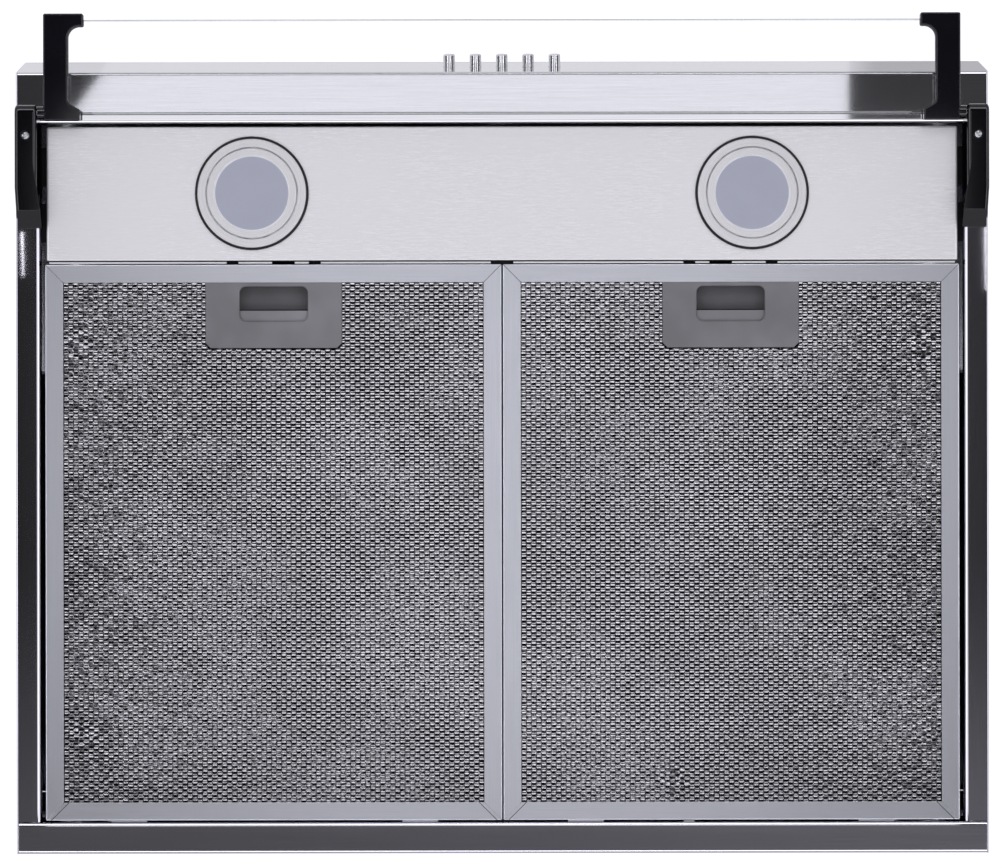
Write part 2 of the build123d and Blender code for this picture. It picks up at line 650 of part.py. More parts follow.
# ---- grease filters: four mitred channel rails around a pack of expanded mesh ----
with BuildPart() as filter_frame:
    with BuildSketch(Plane.XY.offset(FILTER_Z)):
        with Locations((FILTER_X, FILTER_Y)):
            Rectangle(FILTER_WIDTH, FILTER_DEPTH)
    extrude(amount=FILTER_THICKNESS)
    fillet(filter_frame.edges().group_by(Axis.Z)[0], FILTER_EDGE_ROUND)
    with BuildSketch(Plane.XY.offset(FILTER_Z)):
        with Locations((FILTER_X, FILTER_Y)):
            Rectangle(FILTER_WIDTH - 2 * FILTER_RAIL, FILTER_DEPTH - 2 * FILTER_RAIL)
    extrude(amount=FILTER_THICKNESS, mode=Mode.SUBTRACT)
    with BuildSketch(Plane.XY.offset(FILTER_Z + FILTER_SHEET)):
        with Locations((FILTER_X, FILTER_Y)):
            Rectangle(FILTER_WIDTH - 2 * FILTER_SHEET, FILTER_DEPTH - 2 * FILTER_SHEET)
    extrude(amount=FILTER_INNER_HEIGHT, mode=Mode.SUBTRACT)
    with BuildSketch(Plane.XY.offset(FILTER_TOP_Z)):
        with Locations((FILTER_X, FILTER_REAR_Y - FILTER_SHEET)):
            with GridLocations(REAR_TAB_SPREAD, 0, 2, 1):
                Rectangle(
                    REAR_TAB_WIDTH, FILTER_SHEET + REAR_TAB_REACH, align=(Align.CENTER, Align.MIN)
                )
    extrude(amount=-FILTER_SHEET)
    with BuildSketch(across(FILTER_FRONT_Y + FILTER_SHEET)):
        with Locations((HANDLE_X, LATCH_Z)):
            with GridLocations(TONGUE_SPREAD, 0, 2, 1):
                Rectangle(TONGUE_WIDTH + 2 * FIT_GAP, TONGUE_THICKNESS + 2 * FIT_GAP)
    extrude(amount=FILTER_SHEET, mode=Mode.SUBTRACT)
    with BuildSketch(Plane.XY.offset(FILTER_Z)):
        for side_x in (-1, 1):
            for side_y in (-1, 1):
                corner = Location(
                    (
                        FILTER_X + side_x * (FILTER_WIDTH - FILTER_RAIL) / 2,
                        FILTER_Y + side_y * (FILTER_DEPTH - FILTER_RAIL) / 2,
                        0,
                    ),
                    (0, 0, 45 * side_x * side_y),
                )
                with Locations(corner):
                    Rectangle(2 * FILTER_RAIL, MITRE_GAP)
    extrude(amount=FILTER_THICKNESS, mode=Mode.SUBTRACT)
save_pair(filter_frame, "filter_frame")

mesh_width = FILTER_WIDTH - 2 * (FILTER_SHEET + FILTER_CLEARANCE)
mesh_depth = FILTER_DEPTH - 2 * (FILTER_SHEET + FILTER_CLEARANCE)
mesh_z = FILTER_Z + FILTER_SHEET + FILTER_CLEARANCE / 2
mesh_top_z = FILTER_TOP_Z - FILTER_SHEET - FILTER_CLEARANCE / 2
core_z = mesh_z + MESH_SHEET
core_top_z = mesh_top_z - MESH_SHEET - MESH_CORE_SHEET
wave_pitch = mesh_width / (MESH_WAVE_COUNT + 1 / 4)
wave = []
for count in range(MESH_WAVE_COUNT + 1):
    start = FILTER_X - mesh_width / 2 + count * wave_pitch
    wave += [(start, core_z), (start + wave_pitch / 4, core_z)]
    wave += [(start + wave_pitch / 2, core_top_z), (start + wave_pitch * 3 / 4, core_top_z)]
wave = wave[:-2]
raised_wave = [(x, z + MESH_CORE_SHEET) for x, z in reversed(wave)]

with BuildPart() as filter_mesh:
    for sheet_z in (mesh_z, mesh_top_z - MESH_SHEET):
        with BuildSketch(Plane.XY.offset(sheet_z)):
            with Locations((FILTER_X, FILTER_Y)):
                Rectangle(mesh_width, mesh_depth)
        extrude(amount=MESH_SHEET)
    with BuildSketch(across(FILTER_Y + mesh_depth / 2)):
        with BuildLine():
            Polyline(*wave, *raised_wave, close=True)
        make_face()
    extrude(amount=mesh_depth)
    with BuildSketch(Plane.XY.offset(FILTER_Z)):
        with Locations((HANDLE_X, FILTER_FRONT_Y)):
            Rectangle(
                HANDLE_WIDTH + 2 * FIT_GAP,
                HANDLE_REAR_Y - FILTER_FRONT_Y + FIT_GAP,
                align=(Align.CENTER, Align.MIN),
            )
    extrude(amount=FILTER_THICKNESS, mode=Mode.SUBTRACT)
save_pair(filter_mesh, "filter_mesh")

# ---- handle: a moulded box in the front rail, with a finger pocket and a sprung latch inside ----
neck_front_y = FILTER_FRONT_Y + FILTER_SHEET + FILTER_CLEARANCE / 2
neck_z = FILTER_Z + FILTER_SHEET + FILTER_CLEARANCE / 2
pocket_y = RAIL_BACK_Y + POCKET_FROM_RAIL + POCKET_DEPTH / 2
tongue_half = (TONGUE_SPREAD + TONGUE_WIDTH) / 2

with BuildPart() as filter_handle:
    with BuildSketch(Plane.XY.offset(FILTER_Z)) as handle_outline:
        with Locations((HANDLE_X, HANDLE_FRONT_Y)):
            Rectangle(HANDLE_WIDTH, HANDLE_DEPTH, align=(Align.CENTER, Align.MIN))
        chamfer(handle_outline.vertices().group_by(Axis.Y)[-1], HANDLE_CHAMFER)
    extrude(amount=HANDLE_TOP_Z - FILTER_Z)
    with BuildSketch(Plane.XY.offset(neck_z)):
        with Locations((HANDLE_X, neck_front_y)):
            Rectangle(
                2 * NECK_HALF, HANDLE_FRONT_Y - neck_front_y, align=(Align.CENTER, Align.MIN)
            )
    extrude(amount=HANDLE_TOP_Z - neck_z)
    with BuildSketch(Plane.XY.offset(FILTER_Z + HANDLE_FACE)):
        with Locations((HANDLE_X, neck_front_y + HANDLE_WALL)):
            Rectangle(
                2 * (NECK_HALF - HANDLE_WALL),
                CAVITY_REAR_Y - neck_front_y - HANDLE_WALL,
                align=(Align.CENTER, Align.MIN),
            )
    extrude(amount=LATCH_HEIGHT + 2 * FILTER_CLEARANCE, mode=Mode.SUBTRACT)
    with BuildSketch(across(neck_front_y + HANDLE_WALL)):
        with Locations((HANDLE_X, LATCH_Z)):
            with GridLocations(TONGUE_SPREAD, 0, 2, 1):
                Rectangle(TONGUE_WIDTH + 2 * FIT_GAP, TONGUE_THICKNESS + 2 * FIT_GAP)
    extrude(amount=HANDLE_WALL, mode=Mode.SUBTRACT)
    with BuildSketch(Plane.XY.offset(FILTER_Z)):
        with Locations((HANDLE_X, pocket_y)):
            RectangleRounded(POCKET_WIDTH, POCKET_DEPTH, POCKET_RADIUS)
    extrude(amount=HANDLE_FACE, mode=Mode.SUBTRACT)
    pocket_rim = (
        filter_handle.edges()
        .group_by(Axis.Z)[0]
        .filter_by_position(Axis.Y, pocket_y - POCKET_DEPTH / 2, pocket_y + POCKET_DEPTH / 2)
        .filter_by_position(
            Axis.X, HANDLE_X - POCKET_WIDTH / 2 - EDGE_ROUND, HANDLE_X + POCKET_WIDTH / 2 + EDGE_ROUND
        )
    )
    chamfer(pocket_rim, POCKET_EDGE)
save_pair(filter_handle, "filter_handle")

with BuildPart() as latch_slide:
    with BuildSketch(Plane.XY.offset(LATCH_Z - LATCH_HEIGHT / 2)):
        with Locations((HANDLE_X, BAR_FRONT_Y)):
            Rectangle(2 * tongue_half, LATCH_BAR_DEPTH, align=(Align.CENTER, Align.MIN))
    extrude(amount=LATCH_HEIGHT)
    with BuildSketch(Plane.XY.offset(LATCH_Z - TONGUE_THICKNESS / 2)):
        with Locations((HANDLE_X, TONGUE_TIP_Y)):
            with GridLocations(TONGUE_SPREAD, 0, 2, 1):
                Rectangle(
                    TONGUE_WIDTH, BAR_FRONT_Y - TONGUE_TIP_Y, align=(Align.CENTER, Align.MIN)
                )
    extrude(amount=TONGUE_THICKNESS)
    tip_edges = latch_slide.edges().filter_by(Axis.X).group_by(Axis.Y)[0].group_by(Axis.Z)[-1]
    chamfer(tip_edges, TONGUE_RAMP)
save_pair(latch_slide, "latch_slide")

spring_length = CAVITY_REAR_Y - BAR_REAR_Y - 2 * SPRING_WIRE
with BuildPart() as latch_spring:
    with BuildLine() as coil:
        Helix(
            pitch=spring_length / SPRING_COILS,
            height=spring_length,
            radius=SPRING_RADIUS,
            center=(HANDLE_X, BAR_REAR_Y + SPRING_WIRE, LATCH_Z),
            direction=(0, 1, 0),
        )
    with BuildSketch(Plane(origin=coil.line @ 0, z_dir=coil.line % 0)):
        RegularPolygon(SPRING_WIRE, 4)
    sweep(is_frenet=True)
save_pair(latch_spring, "latch_spring")

# ---- visor: a glass strip held by two brackets that turn on pins in the hinge housings ----
tail_y = PIVOT_Y + BRACKET_TAIL
tip_y = PIVOT_Y - BRACKET_REACH
stem_x = BRACKET_X + BRACKET_STEM
foot_x = BRACKET_X + BRACKET_FOOT_REACH
hook_x = BRACKET_X + BRACKET_HOOK_REACH
foot_y = PIVOT_Y - BRACKET_FOOT_DEPTH
bracket_corners = [
    ((BRACKET_X, tail_y), BRACKET_CORNER),
    ((BRACKET_X, tip_y), BRACKET_CORNER),
    ((hook_x, tip_y), BRACKET_CORNER),
    ((hook_x, tip_y + BRACKET_HOOK_DEPTH), BRACKET_CORNER),
    ((stem_x, tip_y + BRACKET_HOOK_DEPTH), BRACKET_CROOK),
    ((stem_x, foot_y), BRACKET_FOOT_SLOPE),
    ((foot_x, foot_y + BRACKET_FOOT_SLOPE), BRACKET_CORNER),
    ((foot_x, tail_y), BRACKET_CORNER),
]
glass_front_y = PIVOT_Y - GLASS_FRONT_REACH
glass_rear_y = PIVOT_Y + GLASS_REAR_REACH
boss_x = BRACKET_X - BOSS_LENGTH
pin_inner_x = BRACKET_X + PIN_DEPTH_IN
pin_outer_x = HOUSING_INNER_X - PIN_DEPTH_OUT


def pivot_plane(x):
    """The plane across the visor's pivot at a given x, facing the middle of the hood."""
    return Plane(origin=(x, PIVOT_Y, PIVOT_Z), x_dir=(0, 1, 0), z_dir=(1, 0, 0))


with BuildPart() as visor_bracket:
    with BuildSketch(Plane.XY.offset(PIVOT_Z - BRACKET_THICKNESS / 2)):
        with BuildLine():
            FilletPolyline(
                *[point for point, _ in bracket_corners],
                radius=[radius for _, radius in bracket_corners],
                close=True,
            )
        make_face()
    extrude(amount=BRACKET_THICKNESS)
    chamfer(visor_bracket.faces().filter_by(Axis.Z).edges(), BRACKET_EDGE)
    with BuildSketch(pivot_plane(BRACKET_X)) as side_view:
        with Locations((BRACKET_TAIL, 0)):
            Rectangle(
                BRACKET_REACH + BRACKET_TAIL, BRACKET_THICKNESS, align=(Align.MAX, Align.CENTER)
            )
        fillet(side_view.vertices().group_by(Axis.Y)[-1], BRACKET_TAIL_ROUND)
    extrude(amount=BRACKET_HOOK_REACH, mode=Mode.INTERSECT)
    with BuildSketch(pivot_plane(boss_x)):
        Circle(BOSS_RADIUS - FIT_GAP)
    extrude(amount=BOSS_LENGTH + BRACKET_CORNER)
    with BuildSketch(Plane.XY.offset(PIVOT_Z)):
        with Locations((GLASS_END_X - GLASS_SLACK, glass_front_y - GLASS_SLACK)):
            Rectangle(
                BRACKET_HOOK_REACH,
                glass_rear_y - glass_front_y + 2 * GLASS_SLACK,
                align=(Align.MIN, Align.MIN),
            )
    extrude(amount=GLASS_THICKNESS / 2 + GLASS_SLACK, both=True, mode=Mode.SUBTRACT)
    with BuildSketch(pivot_plane(boss_x)):
        Circle(PIN_RADIUS + PIN_CLEARANCE)
    extrude(amount=BOSS_LENGTH + PIN_DEPTH_IN + FIT_GAP, mode=Mode.SUBTRACT)
save_pair(visor_bracket, "visor_bracket")

with BuildPart() as visor_glass:
    with BuildSketch(Plane.XY.offset(PIVOT_Z - GLASS_THICKNESS / 2)):
        with Locations((0, (glass_front_y + glass_rear_y) / 2)):
            Rectangle(-2 * GLASS_END_X, glass_rear_y - glass_front_y)
    extrude(amount=GLASS_THICKNESS)
    chamfer(visor_glass.edges().filter_by(Axis.X), GLASS_EDGE)
save(visor_glass, "visor_glass")

nose_y = PIVOT_Y - HOUSING_NOSE
heel_y = PIVOT_Y + HOUSING_BACK
screw_y = PIVOT_Y + HOUSING_SCREW_BACK
housing_z = UNDER_Z - HOUSING_DROP
housing_outer_x = HOUSING_INNER_X - HOUSING_WIDTH
tail_start_y = PIVOT_Y + HOUSING_TAIL_START
with BuildPart() as hinge_housing:
    with BuildSketch(Plane.XY.offset(housing_z)):
        with BuildLine():
            Polyline(
                (housing_outer_x, nose_y),
                (HOUSING_INNER_X, nose_y),
                (HOUSING_INNER_X, tail_start_y),
                (HOUSING_INNER_X + HOUSING_TAIL_LEAN, tail_start_y + HOUSING_TAIL_BEND),
                (HOUSING_INNER_X + HOUSING_TAIL_LEAN, heel_y + HOUSING_RAMP),
                (housing_outer_x + HOUSING_TAIL_TAPER, heel_y + HOUSING_RAMP),
                (housing_outer_x, tail_start_y),
                close=True,
            )
        make_face()
    extrude(amount=HOUSING_DROP)
    with BuildSketch(Plane.YZ.offset(housing_outer_x)):
        with BuildLine():
            Polyline(
                (nose_y, UNDER_Z),
                (nose_y, housing_z),
                (heel_y, housing_z),
                (heel_y + HOUSING_RAMP, UNDER_Z - HOUSING_TAIL_DROP),
                (heel_y + HOUSING_RAMP, UNDER_Z),
                close=True,
            )
        make_face()
    extrude(amount=HOUSING_WIDTH + HOUSING_TAIL_LEAN, mode=Mode.INTERSECT)
    nose_edges = hinge_housing.edges().filter_by(Axis.X).group_by(Axis.Y)[0].group_by(Axis.Z)[0]
    fillet(nose_edges, HOUSING_NOSE_ROUND)
    long_edges = hinge_housing.edges().filter_by(Axis.Y).group_by(Axis.Z)[0]
    fillet(long_edges, HOUSING_ROUND)
    with BuildSketch(Plane.XY.offset(housing_z)):
        with Locations((HOUSING_SCREW_X, screw_y)):
            Circle(SCREW_HEAD_RADIUS + SCREW_RECESS_SLACK)
    extrude(amount=SCREW_HEAD_HEIGHT, mode=Mode.SUBTRACT)
    with BuildSketch(Plane.XY.offset(housing_z)):
        with Locations((HOUSING_SCREW_X, screw_y)):
            Circle(SCREW_SHANK_RADIUS)
    extrude(amount=HOUSING_DROP, mode=Mode.SUBTRACT)
    with BuildSketch(pivot_plane(HOUSING_INNER_X)):
        Circle(PIN_RADIUS)
    extrude(amount=-PIN_DEPTH_OUT, mode=Mode.SUBTRACT)
save_pair(hinge_housing, "hinge_housing")

with BuildPart() as hinge_screw:
    with BuildSketch(Plane.XY.offset(housing_z)):
        with Locations((HOUSING_SCREW_X, screw_y)):
            Circle(SCREW_HEAD_RADIUS)
    extrude(amount=SCREW_HEAD_HEIGHT)
    chamfer(hinge_screw.edges().group_by(Axis.Z)[0], SCREW_HEAD_HEIGHT / 2)
    with BuildSketch(Plane.XY.offset(housing_z + SCREW_HEAD_HEIGHT)):
        with Locations((HOUSING_SCREW_X, screw_y)):
            Circle(SCREW_SHANK_RADIUS)
    extrude(amount=HOUSING_DROP - SCREW_HEAD_HEIGHT)
save_both(hinge_screw, "hinge_screws")

with BuildPart() as pivot_pin:
    with BuildSketch(pivot_plane(pin_outer_x)):
        Circle(PIN_RADIUS)
    extrude(amount=pin_inner_x - pin_outer_x)
save_both(pivot_pin, "pivot_pins")

# ---- push buttons, their switch and its bracket, square to the leaning fascia ----
with BuildPart() as switch_body:
    with BuildSketch(FASCIA_PLANE.offset(-SWITCH_FRONT)):
        Rectangle(SWITCH_LENGTH, SWITCH_BODY_HEIGHT)
    extrude(amount=-SWITCH_BODY_DEPTH)
    chamfer(switch_body.edges().filter_by(Axis.X), EDGE_ROUND)
    with BuildSketch(FASCIA_PLANE.offset(-SWITCH_FRONT)):
        with GridLocations(BUTTON_PITCH, 0, BUTTON_COUNT, 1):
            Circle(STEM_RADIUS + STEM_SLACK)
    extrude(amount=-(STEM_LENGTH + BUTTON_TRAVEL), mode=Mode.SUBTRACT)
save(switch_body, "switch_body")

bracket_half = SWITCH_BODY_HEIGHT / 2
bracket_back = -SWITCH_FRONT - SWITCH_BODY_DEPTH
with BuildPart() as switch_bracket:
    with BuildSketch(FASCIA_SECTION):
        with BuildLine():
            FilletPolyline(
                (-bracket_half - SWITCH_BRACKET_FOOT, -SHEET),
                (-bracket_half, -SHEET),
                (-bracket_half, bracket_back),
                (bracket_half, bracket_back),
                (bracket_half, -SHEET),
                (bracket_half + SWITCH_BRACKET_FOOT, -SHEET),
                radius=SWITCH_BRACKET_SHEET / 2,
            )
            offset(amount=SWITCH_BRACKET_SHEET, side=Side.RIGHT)
        make_face()
    extrude(amount=SWITCH_LENGTH / 4, both=True)
save(switch_bracket, "switch_bracket")

for index in range(BUTTON_COUNT):
    button_x = (index - (BUTTON_COUNT - 1) / 2) * BUTTON_PITCH
    with BuildPart() as button:
        with BuildSketch(FASCIA_PLANE.offset(-BUTTON_INSET)):
            with Locations((button_x, 0)):
                Circle(BUTTON_RADIUS)
        extrude(amount=BUTTON_INSET + BUTTON_REACH)
        tip = button.edges().sort_by(Axis(FASCIA_PLANE.origin, FASCIA_OUT))[-1]
        chamfer(tip, BUTTON_TIP_CHAMFER)
        with BuildSketch(FASCIA_PLANE.offset(-BUTTON_INSET)):
            with Locations((button_x, 0)):
                Circle(STEM_RADIUS)
        extrude(amount=BUTTON_INSET - SWITCH_FRONT - STEM_LENGTH)
    save(button, f"button_{index + 1}")

# ---- outlet collar with two backdraft flaps ----
collar_section = around(0, COLLAR_Y)
collar_axis = Axis((0, COLLAR_Y, 0), (0, 0, 1))
spigot_bore = SPIGOT_RADIUS - SPIGOT_WALL

with BuildPart() as outlet_collar:
    with BuildSketch(collar_section):
        with BuildLine():
            Polyline(
                (spigot_bore, SCROLL_ROOF_Z),
                (SPIGOT_RADIUS, SCROLL_ROOF_Z),
                (SPIGOT_RADIUS, 0),
                (COLLAR_RADIUS + COLLAR_FLANGE, 0),
                (COLLAR_RADIUS + COLLAR_FLANGE, COLLAR_FLANGE_THICKNESS),
                (COLLAR_RADIUS, COLLAR_FLANGE_THICKNESS),
                (COLLAR_RADIUS, COLLAR_HEIGHT),
                (COLLAR_BORE, COLLAR_HEIGHT),
                (COLLAR_BORE, COLLAR_FLANGE_THICKNESS),
                (spigot_bore, COLLAR_FLANGE_THICKNESS),
                close=True,
            )
        make_face()
    revolve(axis=collar_axis)
    with BuildSketch(Plane.YZ):
        with Locations((COLLAR_Y - FLAP_PIN_Y, FLAP_PIN_Z), (COLLAR_Y + FLAP_PIN_Y, FLAP_PIN_Z)):
            Circle(FLAP_PIN_RADIUS)
    extrude(amount=COLLAR_RADIUS, both=True, mode=Mode.SUBTRACT)
save(outlet_collar, "outlet_collar")

pin_half = math.sqrt(COLLAR_RADIUS**2 - FLAP_PIN_Y**2) - FIT_GAP
with BuildPart() as flap_pins:
    with BuildSketch(Plane.YZ):
        with Locations((COLLAR_Y - FLAP_PIN_Y, FLAP_PIN_Z), (COLLAR_Y + FLAP_PIN_Y, FLAP_PIN_Z)):
            Circle(FLAP_PIN_RADIUS)
    extrude(amount=pin_half, both=True)
save(flap_pins, "flap_pins")

flap_radius = COLLAR_BORE - FLAP_CLEARANCE
barrel_bore = FLAP_PIN_RADIUS + PIN_CLEARANCE
barrel_radius = barrel_bore + FLAP_BARREL_WALL
for name, side in (("flap_front", -1), ("flap_rear", 1)):
    hinge_y = COLLAR_Y + side * FLAP_PIN_Y
    with BuildPart() as flap:
        with BuildSketch(Plane.XY.offset(FLAP_BOTTOM_Z)):
            with Locations((0, COLLAR_Y)):
                Circle(flap_radius)
            with Locations((0, hinge_y)):
                Rectangle(
                    2 * COLLAR_RADIUS,
                    2 * COLLAR_RADIUS,
                    align=(Align.CENTER, Align.MIN if side < 0 else Align.MAX),
                    mode=Mode.SUBTRACT,
                )
        extrude(amount=FLAP_THICKNESS)
        for barrel_x in (-FLAP_BARREL_SPREAD / 2, FLAP_BARREL_SPREAD / 2):
            with BuildSketch(Plane.YZ.offset(barrel_x)):
                with Locations((hinge_y, FLAP_PIN_Z)):
                    Circle(barrel_radius)
            extrude(amount=FLAP_BARREL_LENGTH / 2, both=True)
        with BuildSketch(Plane.YZ):
            with Locations((hinge_y, FLAP_PIN_Z)):
                Circle(barrel_bore)
        extrude(amount=COLLAR_RADIUS, both=True, mode=Mode.SUBTRACT)
    save(flap, name)

# ---- blower: a flat scroll under the top, with the motor inside its impeller ----
mouth_low_y = FAN_Y + SCROLL_MOUTH_START
mouth_high_y = mouth_low_y + SCROLL_MOUTH
ear_places = [
    (FAN_X - SCROLL_RADIUS - SCROLL_STEP - SCROLL_EAR_RADIUS / 2, FAN_Y + SCROLL_STEP),
    (FAN_X, FAN_Y - SCROLL_RADIUS - SCROLL_EAR_RADIUS / 2),
    (0, mouth_low_y - SCROLL_EAR_RADIUS / 2),
    (FAN_X, mouth_high_y + SCROLL_EAR_RADIUS / 2),
]


def scroll_outline():
    """In a sketch: four quarter arcs that grow by a step, then the mouth around the collar."""
    step = SCROLL_STEP
    radius = SCROLL_RADIUS
    tongue_y = mouth_low_y - SCROLL_TONGUE
    tongue_x = FAN_X + SCROLL_RADIUS
    with BuildLine() as outline:
        CenterArc((FAN_X, FAN_Y), radius, 0, -90)
        CenterArc((FAN_X, FAN_Y + step), radius + step, -90, -90)
        CenterArc((FAN_X + step, FAN_Y + step), radius + 2 * step, 180, -90)
        Line((FAN_X + step, mouth_high_y), (0, mouth_high_y))
        CenterArc((0, COLLAR_Y), SCROLL_MOUTH / 2, 90, -180)
        Line((0, mouth_low_y), (tongue_x + SCROLL_TONGUE, mouth_low_y))
        CenterArc((tongue_x + SCROLL_TONGUE, tongue_y), SCROLL_TONGUE, 90, 90)
        Line((tongue_x, tongue_y), (tongue_x, FAN_Y))
    make_face(outline.edges())


with BuildPart() as scroll_housing:
    with BuildSketch(Plane.XY.offset(SCROLL_FLOOR_Z)):
        scroll_outline()
    extrude(amount=SCROLL_HEIGHT)
    with BuildSketch(Plane.XY.offset(SCROLL_TOP_Z)):
        with Locations(*ear_places):
            Circle(SCROLL_EAR_RADIUS)
    extrude(amount=-SCROLL_EAR_THICKNESS)
    with BuildSketch(Plane.XY.offset(SCROLL_FLOOR_Z)):
        scroll_outline()
        offset(amount=-SCROLL_WALL)
    extrude(amount=SCROLL_HEIGHT - SCROLL_WALL, mode=Mode.SUBTRACT)
    with BuildSketch(Plane.XY.offset(SCROLL_TOP_Z)):
        with Locations((0, COLLAR_Y)):
            Circle(SPIGOT_RADIUS)
        with Locations(*ear_places):
            Circle(SCREW_SHANK_RADIUS)
        with Locations((FAN_X, FAN_Y)):
            with PolarLocations(MOTOR_SCREW_OFFSET, 3):
                Circle(SCREW_SHANK_RADIUS)
    extrude(amount=-SCROLL_EAR_THICKNESS, mode=Mode.SUBTRACT)
save(scroll_housing, "scroll_housing")

with BuildPart() as scroll_inlet:
    with BuildSketch(Plane.XY.offset(SCROLL_FLOOR_Z)):
        scroll_outline()
        with Locations((FAN_X, FAN_Y)):
            Circle(INLET_RADIUS, mode=Mode.SUBTRACT)
    extrude(amount=-SCROLL_WALL)
    with BuildSketch(Plane.XY.offset(SCROLL_FLOOR_Z)):
        with Locations((FAN_X, FAN_Y)):
            ring(INLET_RADIUS + INLET_LIP_WALL, INLET_RADIUS)
    extrude(amount=INLET_LIP_RISE)
    mouth_edge = scroll_inlet.edges().filter_by(GeomType.CIRCLE).group_by(Axis.Z)[0]
    chamfer(mouth_edge.filter_by(lambda edge: edge.radius == INLET_RADIUS), SCROLL_WALL * 3 / 4)
save(scroll_inlet, "scroll_inlet")

with BuildPart() as motor_mount:
    with BuildSketch(Plane.XY.offset(SCROLL_ROOF_Z)):
        with Locations((FAN_X, FAN_Y)):
            ring(MOTOR_MOUNT_RADIUS, SCROLL_MOUTH_START)
            with PolarLocations(MOTOR_SCREW_OFFSET, 3):
                Circle(SCREW_SHANK_RADIUS, mode=Mode.SUBTRACT)
    extrude(amount=-MOTOR_MOUNT_THICKNESS)
save(motor_mount, "motor_mount")

screw_places = [Location(place) for place in ear_places]
screw_places += [
    Location((FAN_X, FAN_Y)) * place for place in PolarLocations(MOTOR_SCREW_OFFSET, 3)
]
with BuildPart() as blower_screws:
    with BuildSketch(Plane.XY.offset(MOTOR_TOP_Z)):
        with Locations(*screw_places):
            Circle(SCREW_HEAD_RADIUS)
    extrude(amount=-SCREW_HEAD_HEIGHT)
    chamfer(blower_screws.edges().group_by(Axis.Z)[0], SCREW_HEAD_HEIGHT / 2)
    with BuildSketch(Plane.XY.offset(SCROLL_TOP_Z)):
        with Locations(*screw_places):
            Circle(SCREW_SHANK_RADIUS)
    extrude(amount=MOTOR_TOP_Z - SCROLL_TOP_Z)
save(blower_screws, "blower_screws")

with BuildPart() as motor_body:
    with BuildSketch(Plane.XY.offset(MOTOR_TOP_Z)):
        with Locations((FAN_X, FAN_Y)):
            Circle(MOTOR_RADIUS)
    extrude(amount=-MOTOR_HEIGHT)
    with BuildSketch(Plane.XY.offset(MOTOR_FLOOR_Z)):
        with Locations((FAN_X, FAN_Y)):
            with PolarLocations(MOTOR_RADIUS, MOTOR_GROOVES):
                Rectangle(2 * MOTOR_GROOVE_DEPTH, MOTOR_GROOVE_WIDTH)
    extrude(amount=MOTOR_HEIGHT / 2, mode=Mode.SUBTRACT)
    with BuildSketch(Plane.XY.offset(MOTOR_FLOOR_Z)):
        with Locations((FAN_X, FAN_Y)):
            Circle(MOTOR_BOSS_RADIUS)
    extrude(amount=-MOTOR_BOSS_HEIGHT)
    with BuildSketch(Plane.XY.offset(MOTOR_TOP_Z - MOTOR_HEIGHT / 2)):
        with Locations((FAN_X, FAN_Y)):
            Circle(SHAFT_RADIUS + SHAFT_CLEARANCE)
    extrude(amount=-(MOTOR_HEIGHT / 2 + MOTOR_BOSS_HEIGHT), mode=Mode.SUBTRACT)
save(motor_body, "motor_body")

with BuildPart() as motor_shaft:
    with BuildSketch(Plane.XY.offset(MOTOR_TOP_Z - MOTOR_HEIGHT / 2 - FIT_GAP)):
        with Locations((FAN_X, FAN_Y)):
            Circle(SHAFT_RADIUS)
    extrude(amount=-(IMPELLER_CUP_DEPTH + IMPELLER_TOP_GAP - MOTOR_HEIGHT / 2))
save(motor_shaft, "motor_shaft")

fan_section = around(FAN_X, FAN_Y)
fan_axis = Axis((FAN_X, FAN_Y, 0), (0, 0, 1))
blade_rim_z = IMPELLER_TOP_Z - IMPELLER_WALL
blade_middle = (IMPELLER_EYE + IMPELLER_RADIUS) / 2
blade_points = [
    (IMPELLER_EYE, 0),
    (blade_middle, BLADE_SWEEP / 2 - BLADE_BULGE),
    (IMPELLER_RADIUS - IMPELLER_WALL / 2, BLADE_SWEEP),
]
turned_points = [Vector(*point).rotate(Axis.Z, BLADE_ANGLE_THICKNESS) for point in blade_points]

with BuildSketch() as blade:
    with BuildLine():
        ThreePointArc(*blade_points)
        Line(blade_points[-1], turned_points[-1])
        ThreePointArc(*reversed(turned_points))
        Line(turned_points[0], blade_points[0])
    make_face()

with BuildPart() as impeller_blades:
    with BuildSketch(Plane.XY.offset(IMPELLER_FOOT_Z + IMPELLER_WALL)):
        with Locations((FAN_X, FAN_Y)):
            with PolarLocations(0, BLADE_COUNT):
                add(blade.sketch)
    extrude(amount=IMPELLER_HEIGHT - 2 * IMPELLER_WALL)
save(impeller_blades, "impeller_blades")

with BuildPart() as impeller_ring:
    with BuildSketch(Plane.XY.offset(IMPELLER_FOOT_Z)):
        with Locations((FAN_X, FAN_Y)):
            ring(IMPELLER_RADIUS, IMPELLER_EYE)
    extrude(amount=IMPELLER_WALL)
save(impeller_ring, "impeller_ring")

with BuildPart() as impeller_hub:
    with BuildSketch(fan_section):
        with BuildLine():
            Polyline(
                (IMPELLER_RADIUS, IMPELLER_TOP_Z),
                (IMPELLER_EYE - IMPELLER_WALL, IMPELLER_TOP_Z),
                (IMPELLER_CUP_RADIUS, HUB_FLOOR_Z),
                (HUB_RADIUS, HUB_FLOOR_Z),
                (HUB_RADIUS, HUB_FLOOR_Z + HUB_RISE),
                (SHAFT_RADIUS, HUB_FLOOR_Z + HUB_RISE),
                (SHAFT_RADIUS, HUB_FLOOR_Z - IMPELLER_WALL),
                (IMPELLER_CUP_RADIUS + IMPELLER_WALL, HUB_FLOOR_Z - IMPELLER_WALL),
                (IMPELLER_EYE, blade_rim_z),
                (IMPELLER_RADIUS, blade_rim_z),
                close=True,
            )
        make_face()
    revolve(axis=fan_axis)
save(impeller_hub, "impeller_hub")

